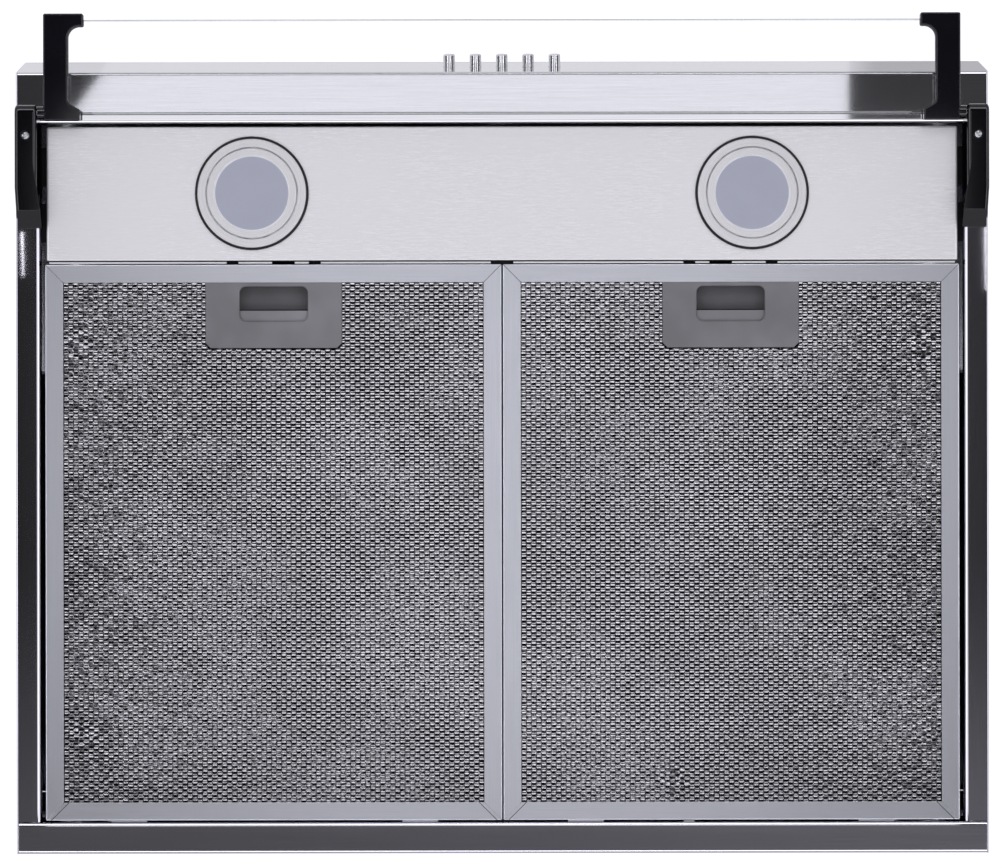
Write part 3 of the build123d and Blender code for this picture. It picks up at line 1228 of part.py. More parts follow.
# ---- electrical parts under the top, and the cable gland through it ----
with BuildPart() as terminal_box:
    with BuildSketch(Plane.XY.offset(-SHEET)):
        with Locations((BOX_X, BOX_Y)):
            RectangleRounded(BOX_LENGTH, BOX_WIDTH, 2 * BOX_WALL)
    extrude(amount=-BOX_HEIGHT)
    offset(amount=-BOX_WALL, openings=terminal_box.faces().sort_by(Axis.Z)[0])
save(terminal_box, "terminal_box")

with BuildPart() as terminal_box_lid:
    with BuildSketch(Plane.XY.offset(-SHEET - BOX_HEIGHT)):
        with Locations((BOX_X, BOX_Y)):
            RectangleRounded(BOX_LENGTH, BOX_WIDTH, 2 * BOX_WALL)
    extrude(amount=-BOX_LID)
    chamfer(terminal_box_lid.edges().group_by(Axis.Z)[0], BOX_LID / 3)
save(terminal_box_lid, "terminal_box_lid")

with BuildPart() as motor_capacitor:
    with BuildSketch(Plane.XY.offset(-SHEET)):
        with Locations((CAPACITOR_X, CAPACITOR_Y)):
            Circle(CAPACITOR_CAP_RADIUS)
    extrude(amount=-CAPACITOR_CAP_HEIGHT)
    with BuildSketch(Plane.XY.offset(-SHEET - CAPACITOR_CAP_HEIGHT)):
        with Locations((CAPACITOR_X, CAPACITOR_Y)):
            Circle(CAPACITOR_RADIUS)
    extrude(amount=-CAPACITOR_LENGTH)
    chamfer(motor_capacitor.edges().group_by(Axis.Z)[0], EDGE_ROUND)
save(motor_capacitor, "motor_capacitor")

with BuildPart() as led_driver:
    with BuildSketch(Plane.XY.offset(-SHEET)):
        with Locations((DRIVER_X, DRIVER_Y)):
            Rectangle(DRIVER_LENGTH, DRIVER_WIDTH)
    extrude(amount=-DRIVER_HEIGHT)
    fillet(led_driver.edges().filter_by(Axis.Z), 2 * EDGE_ROUND)
    chamfer(led_driver.edges().group_by(Axis.Z)[0], EDGE_ROUND)
    with BuildSketch(Plane.XY.offset(-SHEET)):
        with Locations((DRIVER_X, DRIVER_Y)):
            Rectangle(DRIVER_LENGTH + 2 * DRIVER_EAR, DRIVER_WIDTH / 2)
    extrude(amount=-DRIVER_EAR_THICKNESS)
save(led_driver, "led_driver")

with BuildPart() as cable_gland:
    with BuildSketch(around(GLAND_X, GLAND_Y)):
        with BuildLine():
            Polyline(
                (GLAND_BORE_RADIUS, -SHEET - GLAND_NUT_HEIGHT),
                (GLAND_FLANGE_RADIUS, -SHEET - GLAND_NUT_HEIGHT),
                (GLAND_FLANGE_RADIUS, -SHEET),
                (GLAND_BODY_RADIUS, -SHEET),
                (GLAND_BODY_RADIUS, 0),
                (GLAND_FLANGE_RADIUS, 0),
                (GLAND_FLANGE_RADIUS, GLAND_FLANGE_THICKNESS),
                (GLAND_DOME_RADIUS, GLAND_FLANGE_THICKNESS),
                (GLAND_BODY_RADIUS, GLAND_FLANGE_THICKNESS + GLAND_DOME_HEIGHT),
                (GLAND_BORE_RADIUS, GLAND_FLANGE_THICKNESS + GLAND_DOME_HEIGHT),
                close=True,
            )
        make_face()
    revolve(axis=Axis((GLAND_X, GLAND_Y, 0), (0, 0, 1)))
save(cable_gland, "cable_gland")
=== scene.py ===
"""The looks of the cooker hood: finishes, expanded filter mesh, screw heads, studio and camera."""

import math

import bpy
import numpy as np
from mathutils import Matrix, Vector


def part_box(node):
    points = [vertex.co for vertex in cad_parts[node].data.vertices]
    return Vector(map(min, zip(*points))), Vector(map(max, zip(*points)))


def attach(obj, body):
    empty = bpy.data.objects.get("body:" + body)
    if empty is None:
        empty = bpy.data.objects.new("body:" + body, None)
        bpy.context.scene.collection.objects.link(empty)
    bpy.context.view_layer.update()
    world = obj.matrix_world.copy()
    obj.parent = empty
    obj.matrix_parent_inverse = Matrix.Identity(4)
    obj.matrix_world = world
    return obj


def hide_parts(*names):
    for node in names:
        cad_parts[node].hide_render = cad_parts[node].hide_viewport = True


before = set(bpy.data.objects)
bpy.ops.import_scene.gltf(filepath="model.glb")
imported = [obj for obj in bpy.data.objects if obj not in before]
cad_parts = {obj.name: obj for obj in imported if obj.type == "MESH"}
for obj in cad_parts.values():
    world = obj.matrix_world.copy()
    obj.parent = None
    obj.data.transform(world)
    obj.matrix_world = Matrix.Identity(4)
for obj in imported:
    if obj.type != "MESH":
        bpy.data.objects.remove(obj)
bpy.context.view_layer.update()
MM = 0.001

# ---- camera, square to the underside, with the front edge at the top of the picture ----
PICTURE_WIDTH = 1002
PIXEL_SIZE = 0.617 * MM
CAMERA_DISTANCE = 2.9
CAMERA_X = -0.83 * MM
CAMERA_Y = -108.8 * MM
CAMERA_ROLL = math.radians(0.09)
SENSOR_WIDTH = 36.0
UNDERSIDE_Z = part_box("fascia")[0].z

# ---- studio ----
FLOOR_Z = -8.0
FLOOR_HALF = 40.0
SOFTBOX_DROP = 2.0
SOFTBOX_OUTLINE = [
    (-0.370, -0.560), (0.362, -0.560), (0.362, -0.428), (0.476, -0.428),
    (0.476, 0.290), (-0.476, 0.290), (-0.476, -0.405), (-0.418, -0.483),
]
SOFTBOX_STRENGTH = 1.12
GLEAM_STRENGTH = 4.0
SKY_TINT = (0.985, 0.975, 1.03, 1)
BACKDROP = 1.12
GLEAMS = [
    [(-0.5006, -0.320), (-0.4992, -0.320), (-0.4984, -0.275), (-0.4992, -0.273)],
    [(0.5041, -0.324), (0.5055, -0.324), (0.5054, -0.260), (0.5046, -0.257)],
]
CLIP_END = 100

# ---- the world's light, in steps along one axis of a direction: from, to, and the value at each ----
HORIZON = (-0.12, 0.05, 0.0, 1.0)
ABOVE = (-0.25, 0.05, 0.79, 0.50)
PATCH_RIGHT = (0.072, 0.080, 0.0, 1.0)
PATCH_FRONT = (-0.22, -0.17, 1.0, 0.0)
PATCH_DEPTH = 0.26
RING_BOTTOM = (-0.86, -0.80, 0.0, 3.4)
RING_TOP = (-0.66, -0.58, 1.0, 0.0)
HAZE = (-0.95, -0.86, 0.0, 0.15)
LOW_GLOW = (-0.52, -0.42, 0.0, 0.40)
FRONT_TO_REAR = (-0.6, 0.6, 1.1, 0.9)
BASE_TO_REAR = (0.02, 0.10, 0.030, 0.115)
BASE_TO_RIGHT = (-0.1, 0.1, 0.85, 1.35)
BASE_FRONT = (-0.09, -0.03, 0.018, 0.0)

# ---- expanded mesh of the filters ----
CELL_HALF_WIDTH = 3.05 * MM
ROW_PITCH = 1.79 * MM
KNOT_HIGH = (-1.22 * MM, 0.38 * MM)
KNOT_LOW = (0.04 * MM, 0.60 * MM)
KNOT_HIGH_HALF = 1.15 * MM
KNOT_LOW_HALF = 1.10 * MM
KNOT_HIGH_TILT = 0.15 * MM
KNOT_LOW_TILT = 0.08 * MM
KNOT_CREASE = 0.55
KNOT_JITTER = 0.06 * MM
# The middles of the crushed spots.
CRUSHED = [
    (-260.6 * MM, -163.7 * MM), (-257.5 * MM, 76.9 * MM), (260.8 * MM, -163.7 * MM),
    (260.8 * MM, 76.9 * MM), (106.5 * MM, 104.7 * MM),
]
CRUSHED_RADIUS = 9.0 * MM
CRUSHED_JITTER = 5.0
KNOT_SLOT, ARM_SLOT, LAYER_SLOT = 0, 1, 2
# The side of a strand, from its crease to its lower edge, that takes the knots' bright painted highlight at
# a knot.
KNOT_SIDE = 1
STRAND_BACK = 0.55 * MM
MESH_SEEDS = {"left": 11, "right": 12}
FRAME_RAIL = 11.0 * MM
RAIL_OVERLAP = 1.0 * MM
NOTCH_CLEARANCE = 0.3 * MM
CORNER_FILL = 1.4 * MM
LAYER_DEPTH = 2.6 * MM
LAYER_THICKNESS = 0.5 * MM

# ---- screw heads ----
HEAD_RADIUS = 2.5 * MM
HEAD_HEIGHT = 1.6 * MM
SHANK_RADIUS = 1.5 * MM
CROSS_LENGTH = 1.8 * MM
CROSS_WIDTH = 0.45 * MM
CROSS_DEPTH = 1.1 * MM
CROSS_SHARPNESS = 0.35
CROSS_WAIST = 1.25
RECESS_RIM = 0.12 * MM
DOME = [(0.80, 0.22 * MM), (0.95, 0.60 * MM), (1.0, 1.05 * MM)]
HEAD_SEGMENTS = 32


# ======================================================================= shader helpers
NOISE_RANGE = (0.3, 0.7)
BEVEL_SAMPLES = 4
QUARTER_TURN = 0.25


def tinted(colour, share):
    """A colour made darker or lighter by one factor."""
    return tuple(min(1.0, part * share) for part in colour)


class Shader:
    """A node material with one Principled shader, and short ways to add and link nodes."""

    def __init__(self, name, colour, metallic, roughness, **sockets):
        self.material = bpy.data.materials.new(name)
        self.material.use_nodes = True
        self.tree = self.material.node_tree
        self.bsdf = self.tree.nodes["Principled BSDF"]
        self.bsdf.inputs["Base Color"].default_value = (*colour, 1)
        self.bsdf.inputs["Metallic"].default_value = metallic
        self.bsdf.inputs["Roughness"].default_value = roughness
        for socket, value in sockets.items():
            self.bsdf.inputs[socket.replace("_", " ")].default_value = value

    @classmethod
    def over(cls, material):
        """The same helpers for a material that is already made."""
        shader = cls.__new__(cls)
        shader.material = material
        shader.tree = material.node_tree
        shader.bsdf = shader.tree.nodes["Principled BSDF"]
        return shader

    def node(self, kind, **inputs):
        """A node with its inputs set from values or linked from other sockets."""
        node = self.tree.nodes.new(kind)
        for name, value in inputs.items():
            self.feed(node.inputs[name.replace("_", " ")], value)
        return node

    def feed(self, socket, value):
        if isinstance(value, bpy.types.NodeSocket):
            self.tree.links.new(value, socket)
        else:
            socket.default_value = value

    def linked(self, name):
        """What feeds one of the shader's inputs."""
        return self.bsdf.inputs[name].links[0].from_socket

    def math(self, operation, first, second=0.0):
        node = self.tree.nodes.new("ShaderNodeMath")
        node.operation = operation
        self.feed(node.inputs[0], first)
        self.feed(node.inputs[1], second)
        return node.outputs[0]

    def place(self, scale):
        """Object coordinates in metres, stretched."""
        coordinates = self.node("ShaderNodeTexCoord").outputs["Object"]
        return self.node("ShaderNodeMapping", Vector=coordinates, Scale=scale).outputs[0]

    def axes(self):
        """The object coordinates' separate X, Y and Z."""
        coordinates = self.node("ShaderNodeTexCoord").outputs["Object"]
        return self.node("ShaderNodeSeparateXYZ", Vector=coordinates).outputs

    def distance(self, value, place):
        """How far a value is from a place, to either side."""
        return self.math("ABSOLUTE", self.math("SUBTRACT", value, place))

    def radius(self, centre):
        """The distance from an upright axis."""
        x, y, _ = self.axes()
        across = self.math("SUBTRACT", x, centre[0])
        down = self.math("SUBTRACT", y, centre[1])
        squares = [self.math("MULTIPLY", side, side) for side in (across, down)]
        return self.math("SQRT", self.math("ADD", *squares))

    def noise(self, scale, detail=3.0, roughness=0.6):
        """Noise with about scale features per metre, one number for all axes or one for each."""
        stretch = scale if isinstance(scale, tuple) else (scale,) * 3
        node = self.node(
            "ShaderNodeTexNoise", Vector=self.place(stretch), Scale=1.0, Detail=detail, Roughness=roughness
        )
        return node.outputs["Fac"]

    def ramp(self, value, low, high, out_low, out_high):
        """A smooth step from one output to another."""
        node = self.node("ShaderNodeMapRange", Value=value)
        node.interpolation_type = "SMOOTHSTEP"
        names = ("From Min", "From Max", "To Min", "To Max")
        for name, number in zip(names, (low, high, out_low, out_high)):
            self.feed(node.inputs[name], number)
        return node.outputs["Result"]

    def between(self, noise, out_low, out_high):
        """Noise turned into a value from out_low to out_high."""
        return self.ramp(noise, *NOISE_RANGE, out_low, out_high)

    def mix(self, factor, first, second):
        """A mix of two colours."""
        node = self.tree.nodes.new("ShaderNodeMix")
        node.data_type = "RGBA"
        self.feed(node.inputs["Factor"], factor)
        colours = [socket for socket in node.inputs if socket.type == "RGBA"]
        for socket, colour in zip(colours, (first, second)):
            self.feed(socket, (*colour, 1) if isinstance(colour, tuple) else colour)
        return [socket for socket in node.outputs if socket.type == "RGBA"][0]

    def colour(self, value):
        self.feed(self.bsdf.inputs["Base Color"], value)

    def roughness(self, value):
        self.feed(self.bsdf.inputs["Roughness"], value)

    def relief(self, height, depth, bevel=0.0):
        """Bump of a real depth in metres, over edges that catch the light along a bevel."""
        bump = self.node("ShaderNodeBump", Height=height, Distance=depth, Strength=1.0)
        if bevel:
            rounded = self.node("ShaderNodeBevel", Radius=bevel)
            rounded.samples = BEVEL_SAMPLES
            self.feed(bump.inputs["Normal"], rounded.outputs["Normal"])
        self.feed(self.bsdf.inputs["Normal"], bump.outputs["Normal"])

    def grain_along(self, direction):
        """Turns the shader's stretch across a grain that runs along direction."""
        tangent = self.node("ShaderNodeCombineXYZ", X=direction[0], Y=direction[1], Z=direction[2])
        self.feed(self.bsdf.inputs["Tangent"], tangent.outputs[0])
        self.bsdf.inputs["Anisotropic Rotation"].default_value = QUARTER_TURN


# ======================================================================= materials
GRAIN_LENGTH = 40 * MM
GRAIN_WIDTH = 0.16 * MM
PANEL_GRAIN = 6 * MM
EDGE_BEVEL = 0.35 * MM
SLIGHT = 0.00008 * MM
MITRE_LINE = 0.27 * MM
MITRE_TONE = (0.03, 0.03, 0.035)
# Where painted shade lies: the lamp panel's tabs and rear bend, the rails' inner bend beside the housings,
# and a line at the seam in front of the finger bar.
TAB_REACH = 10.9 * MM
LIP_DEPTH = 1.5 * MM
BEND_LINE = 0.42 * MM
RAIL_FLAT = 11.8 * MM
FINGER_SEAM_Y = -185.7 * MM
SEAM_LINE = 0.55 * MM
# The colour of painted shade in gaps, bends and pockets.
PAINTED_SHADE_TONE = (0.006, 0.006, 0.008)
# The painted shade in the finger pocket: where it starts and ends behind the face, and how dark it gets.
POCKET_EDGE = 0.8 * MM
POCKET_SHADE = 5.0 * MM
POCKET_PAINTED_SHADE = 0.5
SPARK_SIZE = 0.35 * MM
PLATED_BEVEL = 0.15 * MM
LENS_CORE = (0.42, 0.44, 0.53)
LENS_CORE_PALE = (0.45, 0.47, 0.56)
LENS_RIM = (0.88, 0.89, 0.93)
LENS_RIM_RANGE = (0.965, 0.995)
LAYER_PAINTED_SHADE = (0.004, 0.004, 0.005)
LAYER_GLINT_DULL = (0.03, 0.03, 0.04)
LAYER_GLINT_BRIGHT = (0.85, 0.85, 0.90)
GLASS_EDGE = (0.1, (0.62, 0.69, 0.67, 1))
GLASS_FACE = (0.95, (0.994, 0.997, 0.998, 1))
GLASS_GLOSS = 0.02
GLASS_IOR = 1.5

# ---- noise in the finishes: features per metre, and the part of the noise that is used ----
SHEET_CLOUDS = 14.0
LENS_FROST = 900.0
LENS_CLOUDS = 60.0
PLASTIC_CLOUDS = 25.0
HANDLING_MARKS = 350.0
MESH_PATCHES = 9.0
MESH_SPARKLE = 700.0
LAYER_GLINTS = (420.0, 700.0, 420.0)
LAYER_PATCHES = 11.0
FLOOR_CLOUDS = 2.0
LINE_RANGE = (0.25, 0.75)
MARK_RANGE = (0.35, 0.7)
MESH_PATCH_RANGE = (0.36, 0.66)
SPARKLE_RANGE = (0.40, 0.60)
GLINT_RANGE = (0.46, 0.66)
LAYER_PATCH_RANGE = (0.46, 0.62)


def brushed(
    name, colour, roughness, spread, along="x", depth=0.0008 * MM, anisotropic=0.75,
    length=GRAIN_LENGTH, contrast=0.14, bevel=EDGE_BEVEL, metallic=1.0,
):
    """Sheet metal with fine drawn lines, a little mottled."""
    shader = Shader(name, colour, metallic, roughness, Anisotropic=anisotropic)
    stretch = [1 / GRAIN_WIDTH] * 3
    direction = [0.0, 0.0, 0.0]
    axis = "xyz".index(along)
    stretch[axis] = 1 / length
    direction[axis] = 1.0
    lines = shader.noise(tuple(stretch), detail=4.0, roughness=0.7)
    cloud = shader.noise(SHEET_CLOUDS, detail=2.0)
    darker = tinted(colour, 1 - contrast)
    lighter = tinted(colour, 1 + contrast / 2)
    shader.colour(shader.mix(shader.ramp(lines, *LINE_RANGE, 0.0, 1.0), darker, lighter))
    varied = shader.math("ADD", shader.between(lines, -spread, spread), roughness)
    shader.roughness(shader.math("ADD", varied, shader.between(cloud, -spread / 2, spread / 2)))
    shader.relief(lines, depth, bevel)
    shader.grain_along(direction)
    return shader.material


def paint_gap_shade(material, mask):
    """Painted shade: a finish turned dull and dark where mask(shader) is 1, in gaps that no light reaches.
    """
    shader = Shader.over(material)
    shade_mask = mask(shader)
    tone = shader.linked("Base Color")
    rough = shader.linked("Roughness")
    shader.colour(shader.mix(shade_mask, tone, PAINTED_SHADE_TONE))
    shader.roughness(shader.math("MAXIMUM", shade_mask, rough))
    return material


def panel_painted_shade(shader):
    """Where shade is painted on the lamp panel: its tabs at both ends, and the bend in front of its rear
    lip.
    """
    lo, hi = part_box("lamp_panel")
    x, y, _ = shader.axes()
    from_middle = shader.distance(x, (lo.x + hi.x) / 2)
    tabs = shader.math("GREATER_THAN", from_middle, (hi.x - lo.x) / 2 - TAB_REACH)
    from_bend = shader.distance(y, hi.y - LIP_DEPTH)
    return shader.math("MAXIMUM", tabs, shader.math("LESS_THAN", from_bend, BEND_LINE))


def rail_painted_shade(shader):
    """Where shade is painted on the side rails: their inner bend beside the hinge housings."""
    _, housing_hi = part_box("hinge_housing_right")
    x, y, _ = shader.axes()
    inner = shader.math("LESS_THAN", shader.math("ABSOLUTE", x), housing_hi.x - RAIL_FLAT)
    ahead = shader.math("LESS_THAN", y, housing_hi.y)
    return shader.math("MULTIPLY", inner, ahead)


def latch_painted_shade(shader):
    """Where shade is painted on the latch: its tongues in the panel's slots, and a painted shadow line at
    the seam in front of the finger bar.
    """
    tongue_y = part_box("filter_frame_left")[0].y
    _, y, _ = shader.axes()
    tongues = shader.math("LESS_THAN", y, tongue_y)
    from_seam = shader.distance(y, FINGER_SEAM_Y)
    return shader.math("MAXIMUM", tongues, shader.math("LESS_THAN", from_seam, SEAM_LINE))


def paint_pocket_shade(material, node):
    """Painted shade: a finish made darker behind a node's face, as in a finger pocket."""
    shader = Shader.over(material)
    face_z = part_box(node)[0].z
    _, _, z = shader.axes()
    behind = shader.ramp(z, face_z + POCKET_EDGE, face_z + POCKET_SHADE, 0.0, POCKET_PAINTED_SHADE)
    shader.colour(shader.mix(behind, shader.linked("Base Color"), PAINTED_SHADE_TONE))
    return material


def satin_frame(name, colour, box):
    """Anodised filter rails: the grain runs along each rail and changes at the mitres."""
    lo, hi = box
    shader = Shader(name, colour, 1.0, 0.36, Anisotropic=0.5)
    x, y, _ = shader.axes()
    from_side = shader.math("SUBTRACT", (hi.x - lo.x) / 2, shader.distance(x, (lo.x + hi.x) / 2))
    from_end = shader.math("SUBTRACT", (hi.y - lo.y) / 2, shader.distance(y, (lo.y + hi.y) / 2))
    on_side = shader.math("LESS_THAN", from_side, from_end)
    on_end = shader.math("SUBTRACT", 1.0, on_side)
    along_x = shader.noise((1 / GRAIN_LENGTH, 1 / GRAIN_WIDTH, 1 / GRAIN_WIDTH))
    along_y = shader.noise((1 / GRAIN_WIDTH, 1 / GRAIN_LENGTH, 1 / GRAIN_WIDTH))
    side_lines = shader.math("MULTIPLY", on_side, along_y)
    end_lines = shader.math("MULTIPLY", on_end, along_x)
    lines = shader.math("ADD", side_lines, end_lines)
    streaked = shader.mix(shader.between(lines, 0.0, 0.22), colour, tinted(colour, 0.7))
    mitre = shader.math("LESS_THAN", shader.distance(from_side, from_end), MITRE_LINE)
    shader.colour(shader.mix(mitre, streaked, MITRE_TONE))
    shader.roughness(shader.between(lines, 0.30, 0.42))
    shader.relief(lines, 0.001 * MM, EDGE_BEVEL)
    return shader.material


def spun(name, colour, roughness, centre, metallic):
    """Metal turned on a lathe, with fine rings round a centre."""
    shader = Shader(name, colour, metallic, roughness, Anisotropic=0.4)
    rings = shader.node("ShaderNodeTexNoise", Scale=1.0, Detail=3.0)
    rings.noise_dimensions = "1D"
    shader.feed(rings.inputs["W"], shader.math("DIVIDE", shader.radius(centre), GRAIN_WIDTH))
    lines = rings.outputs["Fac"]
    shader.colour(shader.mix(shader.between(lines, 0.0, 1.0), tinted(colour, 0.82), colour))
    shader.roughness(shader.between(lines, roughness * 0.8, roughness * 1.25))
    shader.relief(lines, 0.0015 * MM, EDGE_BEVEL)
    return shader.material


def lamp_face(name, centre, radius):
    """A frosted diffuser, paler at its rim."""
    shader = Shader(name, LENS_CORE, 0.0, 0.42, Coat_Weight=0.15, Coat_Roughness=0.3)
    share = shader.math("DIVIDE", shader.radius(centre), radius)
    frost = shader.noise(LENS_FROST, detail=2.0)
    cloud = shader.noise(LENS_CLOUDS, detail=1.0)
    core = shader.mix(shader.between(cloud, 0.0, 0.35), LENS_CORE, LENS_CORE_PALE)
    shader.colour(shader.mix(shader.ramp(share, *LENS_RIM_RANGE, 0.0, 1.0), core, LENS_RIM))
    shader.roughness(shader.between(frost, 0.36, 0.5))
    shader.relief(frost, 0.01 * MM)
    return shader.material


def moulded(name, colour, roughness, depth=0.012 * MM):
    """Moulded plastic or rubber with a fine spark texture."""
    shader = Shader(name, colour, 0.0, roughness)
    sparks = shader.noise(1 / SPARK_SIZE, detail=2.0)
    cloud = shader.noise(PLASTIC_CLOUDS, detail=2.0)
    shader.colour(shader.mix(shader.between(cloud, 0.0, 1.0), tinted(colour, 0.85), tinted(colour, 1.1)))
    shader.roughness(shader.between(sparks, roughness * 0.85, min(1.0, roughness * 1.15)))
    shader.relief(sparks, depth, EDGE_BEVEL)
    return shader.material


def plated(name, colour, roughness):
    """Smooth plated or machined metal with faint handling marks."""
    shader = Shader(name, colour, 1.0, roughness)
    marks = shader.noise(HANDLING_MARKS)
    shader.roughness(shader.ramp(marks, *MARK_RANGE, roughness * 0.7, roughness * 1.6))
    shader.relief(marks, 0.0006 * MM, PLATED_BEVEL)
    return shader.material


def crimped(name, colour, dull):
    """Aluminium strands with a painted patchy sheen and fine darker specks."""
    shader = Shader(name, colour, 1.0, 0.2)
    patch = shader.noise(MESH_PATCHES, detail=4.0, roughness=0.65)
    fine = shader.noise(MESH_SPARKLE, detail=2.0)
    tone = shader.mix(shader.ramp(patch, *MESH_PATCH_RANGE, 0.0, 1.0), tinted(colour, 0.85), colour)
    shader.colour(shader.mix(shader.ramp(fine, *SPARKLE_RANGE, 0.0, dull), tone, tinted(colour, 0.4)))
    shader.roughness(shader.between(fine, 0.10, 0.24))
    shader.relief(fine, 0.014 * MM)
    return shader.material


def inner_layers(name):
    """The deeper mesh layers in painted shadow: dark, with painted glints of the strands behind."""
    shader = Shader(name, LAYER_PAINTED_SHADE, 1.0, 0.5)
    glints = shader.noise(LAYER_GLINTS, detail=2.0)
    patch = shader.noise(LAYER_PATCHES)
    bright = shader.ramp(patch, *LAYER_PATCH_RANGE, 0.0, 1.0)
    glint = shader.mix(bright, LAYER_GLINT_DULL, LAYER_GLINT_BRIGHT)
    shader.colour(shader.mix(shader.ramp(glints, *GLINT_RANGE, 0.0, 1.0), LAYER_PAINTED_SHADE, glint))
    shader.roughness(shader.between(patch, 0.4, 0.7))
    shader.relief(glints, 0.4 * MM)
    return shader.material


def visor_glass(name):
    """Clear float glass: it lets light straight through and is greener at its cut edges."""
    material = bpy.data.materials.new(name)
    material.use_nodes = True
    tree = material.node_tree
    tree.nodes.clear()
    output = tree.nodes.new("ShaderNodeOutputMaterial")
    clear = tree.nodes.new("ShaderNodeBsdfTransparent")
    gloss = tree.nodes.new("ShaderNodeBsdfGlossy")
    gloss.inputs["Roughness"].default_value = GLASS_GLOSS
    coordinates = tree.nodes.new("ShaderNodeTexCoord")
    axes = tree.nodes.new("ShaderNodeSeparateXYZ")
    edge = tree.nodes.new("ShaderNodeMath")
    edge.operation = "ABSOLUTE"
    tint = tree.nodes.new("ShaderNodeValToRGB")
    for element, (position, colour) in zip(tint.color_ramp.elements, (GLASS_EDGE, GLASS_FACE)):
        element.position = position
        element.color = colour
    fresnel = tree.nodes.new("ShaderNodeFresnel")
    fresnel.inputs["IOR"].default_value = GLASS_IOR
    mix = tree.nodes.new("ShaderNodeMixShader")
    tree.links.new(coordinates.outputs["Normal"], axes.inputs[0])
    tree.links.new(axes.outputs["Z"], edge.inputs[0])
    tree.links.new(edge.outputs[0], tint.inputs["Fac"])
    tree.links.new(tint.outputs["Color"], clear.inputs["Color"])
    tree.links.new(fresnel.outputs["Fac"], mix.inputs["Fac"])
    tree.links.new(clear.outputs[0], mix.inputs[1])
    tree.links.new(gloss.outputs[0], mix.inputs[2])
    tree.links.new(mix.outputs[0], output.inputs["Surface"])
    return material


def dress(material, *nodes):
    """Gives CAD nodes a finish."""
    for node in nodes:
        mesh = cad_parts[node].data
        mesh.materials.clear()
        mesh.materials.append(material)


def both(name):
    return f"{name}_left", f"{name}_right"


def centre_of(node):
    lo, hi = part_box(node)
    return (lo.x + hi.x) / 2, (lo.y + hi.y) / 2


dress(brushed("body_steel", (0.72, 0.725, 0.75), 0.20, 0.02, anisotropic=0.8), "canopy_top")
dress(
    brushed("front_steel", (0.72, 0.725, 0.75), 0.035, 0.004, depth=SLIGHT, anisotropic=0.4, bevel=0.0),
    "fascia",
)
dress(brushed("rear_steel", (0.72, 0.71, 0.77), 0.025, 0.003, depth=SLIGHT, anisotropic=0.3), "rear_panel")
side_steel = brushed(
    "side_steel", (0.72, 0.71, 0.77), 0.02, 0.002, along="y", depth=SLIGHT, anisotropic=0.2, bevel=0.0,
)
# Painted shade on the rails' inner bend beside the hinge housings.
dress(paint_gap_shade(side_steel, rail_painted_shade), *both("side_panel"))
panel_steel = brushed(
    "lamp_panel_steel", (0.92, 0.92, 0.935), 0.25, 0.04, depth=0.0012 * MM, anisotropic=0.9,
    length=PANEL_GRAIN, contrast=0.06, metallic=0.15,
)
# Painted shade on the lamp panel's tabs and rear bend.
dress(paint_gap_shade(panel_steel, panel_painted_shade), "lamp_panel")
zinc = plated("zinc_plate", (0.58, 0.60, 0.62), 0.32)
dress(zinc, "switch_bracket", "motor_mount", "lamp_clips", "motor_shaft")
for side in ("left", "right"):
    lamp_centre = centre_of(f"lamp_lens_{side}")
    lens_lo, lens_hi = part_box(f"lamp_lens_{side}")
    trim = spun(f"lamp_trim_{side}", (0.98, 0.98, 0.99), 0.34, lamp_centre, metallic=0.3)
    dress(trim, f"lamp_bezel_{side}", f"lamp_ring_{side}")
    dress(lamp_face(f"lamp_face_{side}", lamp_centre, (lens_hi.x - lens_lo.x) / 2), f"lamp_lens_{side}")
    frame_name = f"filter_frame_{side}"
    dress(satin_frame(f"frame_satin_{side}", (0.77, 0.79, 0.845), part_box(frame_name)), frame_name)
dress(plated("lamp_aluminium", (0.70, 0.71, 0.72), 0.4), *both("lamp_body"))
dress(moulded("gasket_rubber", (0.012, 0.012, 0.014), 0.6), "lamp_gaskets")
dress(moulded("hinge_black", (0.007, 0.007, 0.013), 0.06, depth=0.0006 * MM), *both("hinge_housing"))
dress(moulded("bracket_black", (0.011, 0.011, 0.019), 0.06, depth=0.0006 * MM), *both("visor_bracket"))
chrome = plated("bright_chrome", (0.80, 0.80, 0.82), 0.07)
dress(chrome, *[f"button_{number}" for number in range(1, 6)])
screw_steel = plated("screw_steel", (0.66, 0.68, 0.70), 0.25)
dress(screw_steel, "panel_screws", "hinge_screws", "blower_screws", "pivot_pins")
dress(screw_steel, "flap_pins", *both("latch_spring"))
# The handle's finger pocket gets painted shade.
handle_grey = paint_pocket_shade(moulded("handle_grey", (0.205, 0.205, 0.217), 0.55), "filter_handle_left")
dress(handle_grey, *both("filter_handle"))
# Painted shade on the latch's tongues and a painted shadow line at its seam.
dress(paint_gap_shade(moulded("latch_grey", (0.24, 0.24, 0.254), 0.5), latch_painted_shade), *both("latch_slide"))
dark = moulded("dark_plastic", (0.03, 0.03, 0.032), 0.5)
dress(dark, "filter_divider", "switch_body", "outlet_collar", "flap_front", "flap_rear", "cable_gland")
dress(moulded("scroll_plastic", (0.10, 0.10, 0.11), 0.45), "scroll_housing", "scroll_inlet")
impeller_plastic = moulded("impeller_plastic", (0.04, 0.04, 0.045), 0.4)
dress(impeller_plastic, "impeller_blades", "impeller_ring", "impeller_hub")
dress(moulded("motor_paint", (0.07, 0.07, 0.08), 0.35), "motor_body")
dress(moulded("box_plastic", (0.50, 0.50, 0.49), 0.5), "terminal_box", "terminal_box_lid")
dress(moulded("part_plastic", (0.72, 0.72, 0.70), 0.4), "led_driver", "motor_capacitor")
dress(visor_glass("visor_clear"), "visor_glass")


